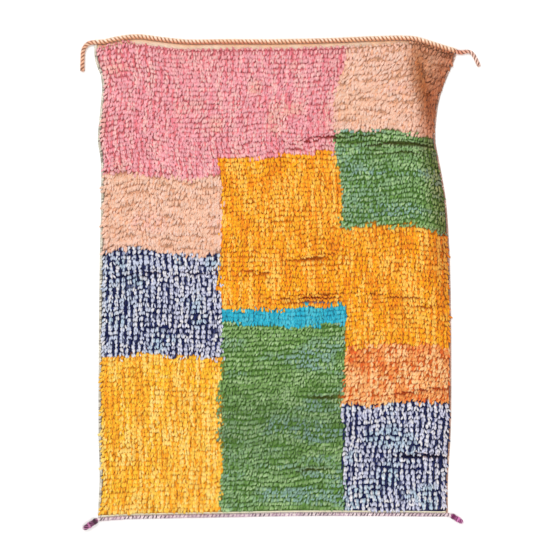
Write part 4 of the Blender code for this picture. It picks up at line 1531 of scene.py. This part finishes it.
# Painted shade in opened rows: the root rings of the row below and the tips of the short row above are
# darkened to red-brown.
SEAM_BELOW = np.array([1.0, 0.6, 0.0, 0.0])[:, None, None]
SEAM_ABOVE = np.array([0.0, 0.0, 0.1, 0.7])[:, None, None]
LIGHT_GREEN = 1.10
GREEN_DARKER_BAND = 0.24
GREEN_DARKER_BAND_Y = -0.44
GREEN_DARKER_BAND_SIZE = 0.12
GREEN_DARKER_BAND_SWING = 0.5
UNEVEN = 0.05
UNEVEN_GREEN = 0.05
UNEVEN_EAR = 0.12
UNEVEN_EAR_SIZE = (0.08, 0.13)
DARKEST = 0.004
BRIGHTEST = 0.95

colour = shade_of(block, "main")
stages = (("patch", np.maximum(patchy, batch)), ("light", lighter), ("deep", deeper), ("gap", low_yarn))
for name, share in stages:
    colour = mixed(colour, shade_of(block, name), share[:, None])
is_green = np.array([b.dye == "green" for b in BLOCKS])[block]
# The green blocks are darker in a broad band across the lower part of the rug.
green_darker_band = GREEN_DARKER_BAND * bell(y - GREEN_DARKER_BAND_Y, GREEN_DARKER_BAND_SIZE)
green_darker_band = green_darker_band * (1 + GREEN_DARKER_BAND_SWING * (batch - BATCH_MIDDLE))
colour = colour * np.where(is_green, LIGHT_GREEN - green_darker_band, 1)[:, None]
uneven = UNEVEN + UNEVEN_GREEN * is_green + UNEVEN_EAR * in_ear(x, y, UNEVEN_EAR_SIZE)
colour = colour * (1 + uneven * rng.normal(0, 1, locks_n))[:, None]
# The locks take the painted shade of the ear, its fold, the cord and the right edge.
painted_shades = shadows(x, y, u)
colour = np.clip(colour * painted_shades, DARKEST, BRIGHTEST)
foot_painted_shade = shade_of(block, "gap") * painted_shades

# %% A piece of pile for each block
for k, part_block in enumerate(BLOCKS):
    part = np.flatnonzero(block == k)
    shades = mixed(colour[part][:, None, None], foot_painted_shade[part][:, None, None], ROOT_PAINTED_SHADE_SHARES)
    seam_painted_shades = SEAM_BELOW * seam[part][:, None, None, None] + SEAM_ABOVE * short[part][:, None, None, None]
    shades = shades * (1 - seam_painted_shades * (1 - SEAM_PAINTED_SHADE)) * RING_PAINTED_SHADES
    add_piece(tube_mesh("pile_" + part_block.name, lock_rings(part), shades), pile_wool)

# %% [markdown]
# ## The sheet, the floor and the light
# The pieces that are knotted or sewn onto the ground are gathered in a list. The floor is a pale plain one,
# and the light is soft daylight from the upper left, so that ribs and rows show by their shadows.

SEWN_ON = ("pile_", "selvage_", "foot_", "head_w")
on_sheet = [o for o in scene.objects if o.type == "MESH" and o.name.startswith(SEWN_ON)]
on_sheet = [o for o in on_sheet if "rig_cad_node" not in o]
print(len(on_sheet), "pieces go with the sheet")

# %% Floor, sky and lamps
FLOOR_HALF = 6.0
FLOOR_DROP = 0.0004
FLOOR_SOCKETS = {"Base Color": (*linear("#F6F5F3"), 1), "Roughness": 0.8}
SKY_SOCKETS = {"Color": (*linear("#FFFFFF"), 1), "Strength": 0.80}

floor_mesh = bpy.data.meshes.new("Floor")
corners = [(FLOOR_HALF * i, FLOOR_HALF * j, -FLOOR_DROP) for i, j in ((-1, -1), (1, -1), (1, 1), (-1, 1))]
floor_mesh.from_pydata(corners, [], [(0, 1, 2, 3)])
floor = bpy.data.objects.new("Floor", floor_mesh)
scene.collection.objects.link(floor)
floor_mesh.materials.append(new_finish("PalePaintedFloor", FLOOR_SOCKETS)[0])

world = bpy.data.worlds.new("Sky")
world.use_nodes = True
for socket, value in SKY_SOCKETS.items():
    world.node_tree.nodes["Background"].inputs[socket].default_value = value
scene.world = world

Lamp = namedtuple("Lamp", "name place size power")
LAMPS = (
    Lamp("WindowLight", (-1.5, 2.4, 3.6), 2.2, 92),
    Lamp("FillLight", (1.4, -1.8, 3.4), 2.8, 58),
)
for lamp in LAMPS:
    data = bpy.data.lights.new(lamp.name, "AREA")
    data.size = lamp.size
    data.energy = lamp.power
    light = bpy.data.objects.new(lamp.name, data)
    scene.collection.objects.link(light)
    light.location = lamp.place
    away = -unit(np.array(lamp.place))
    light.rotation_euler = (np.arccos(-away[2]), 0, np.arctan2(-away[0], away[1]))
    print(lamp.name, "at", lamp.place)
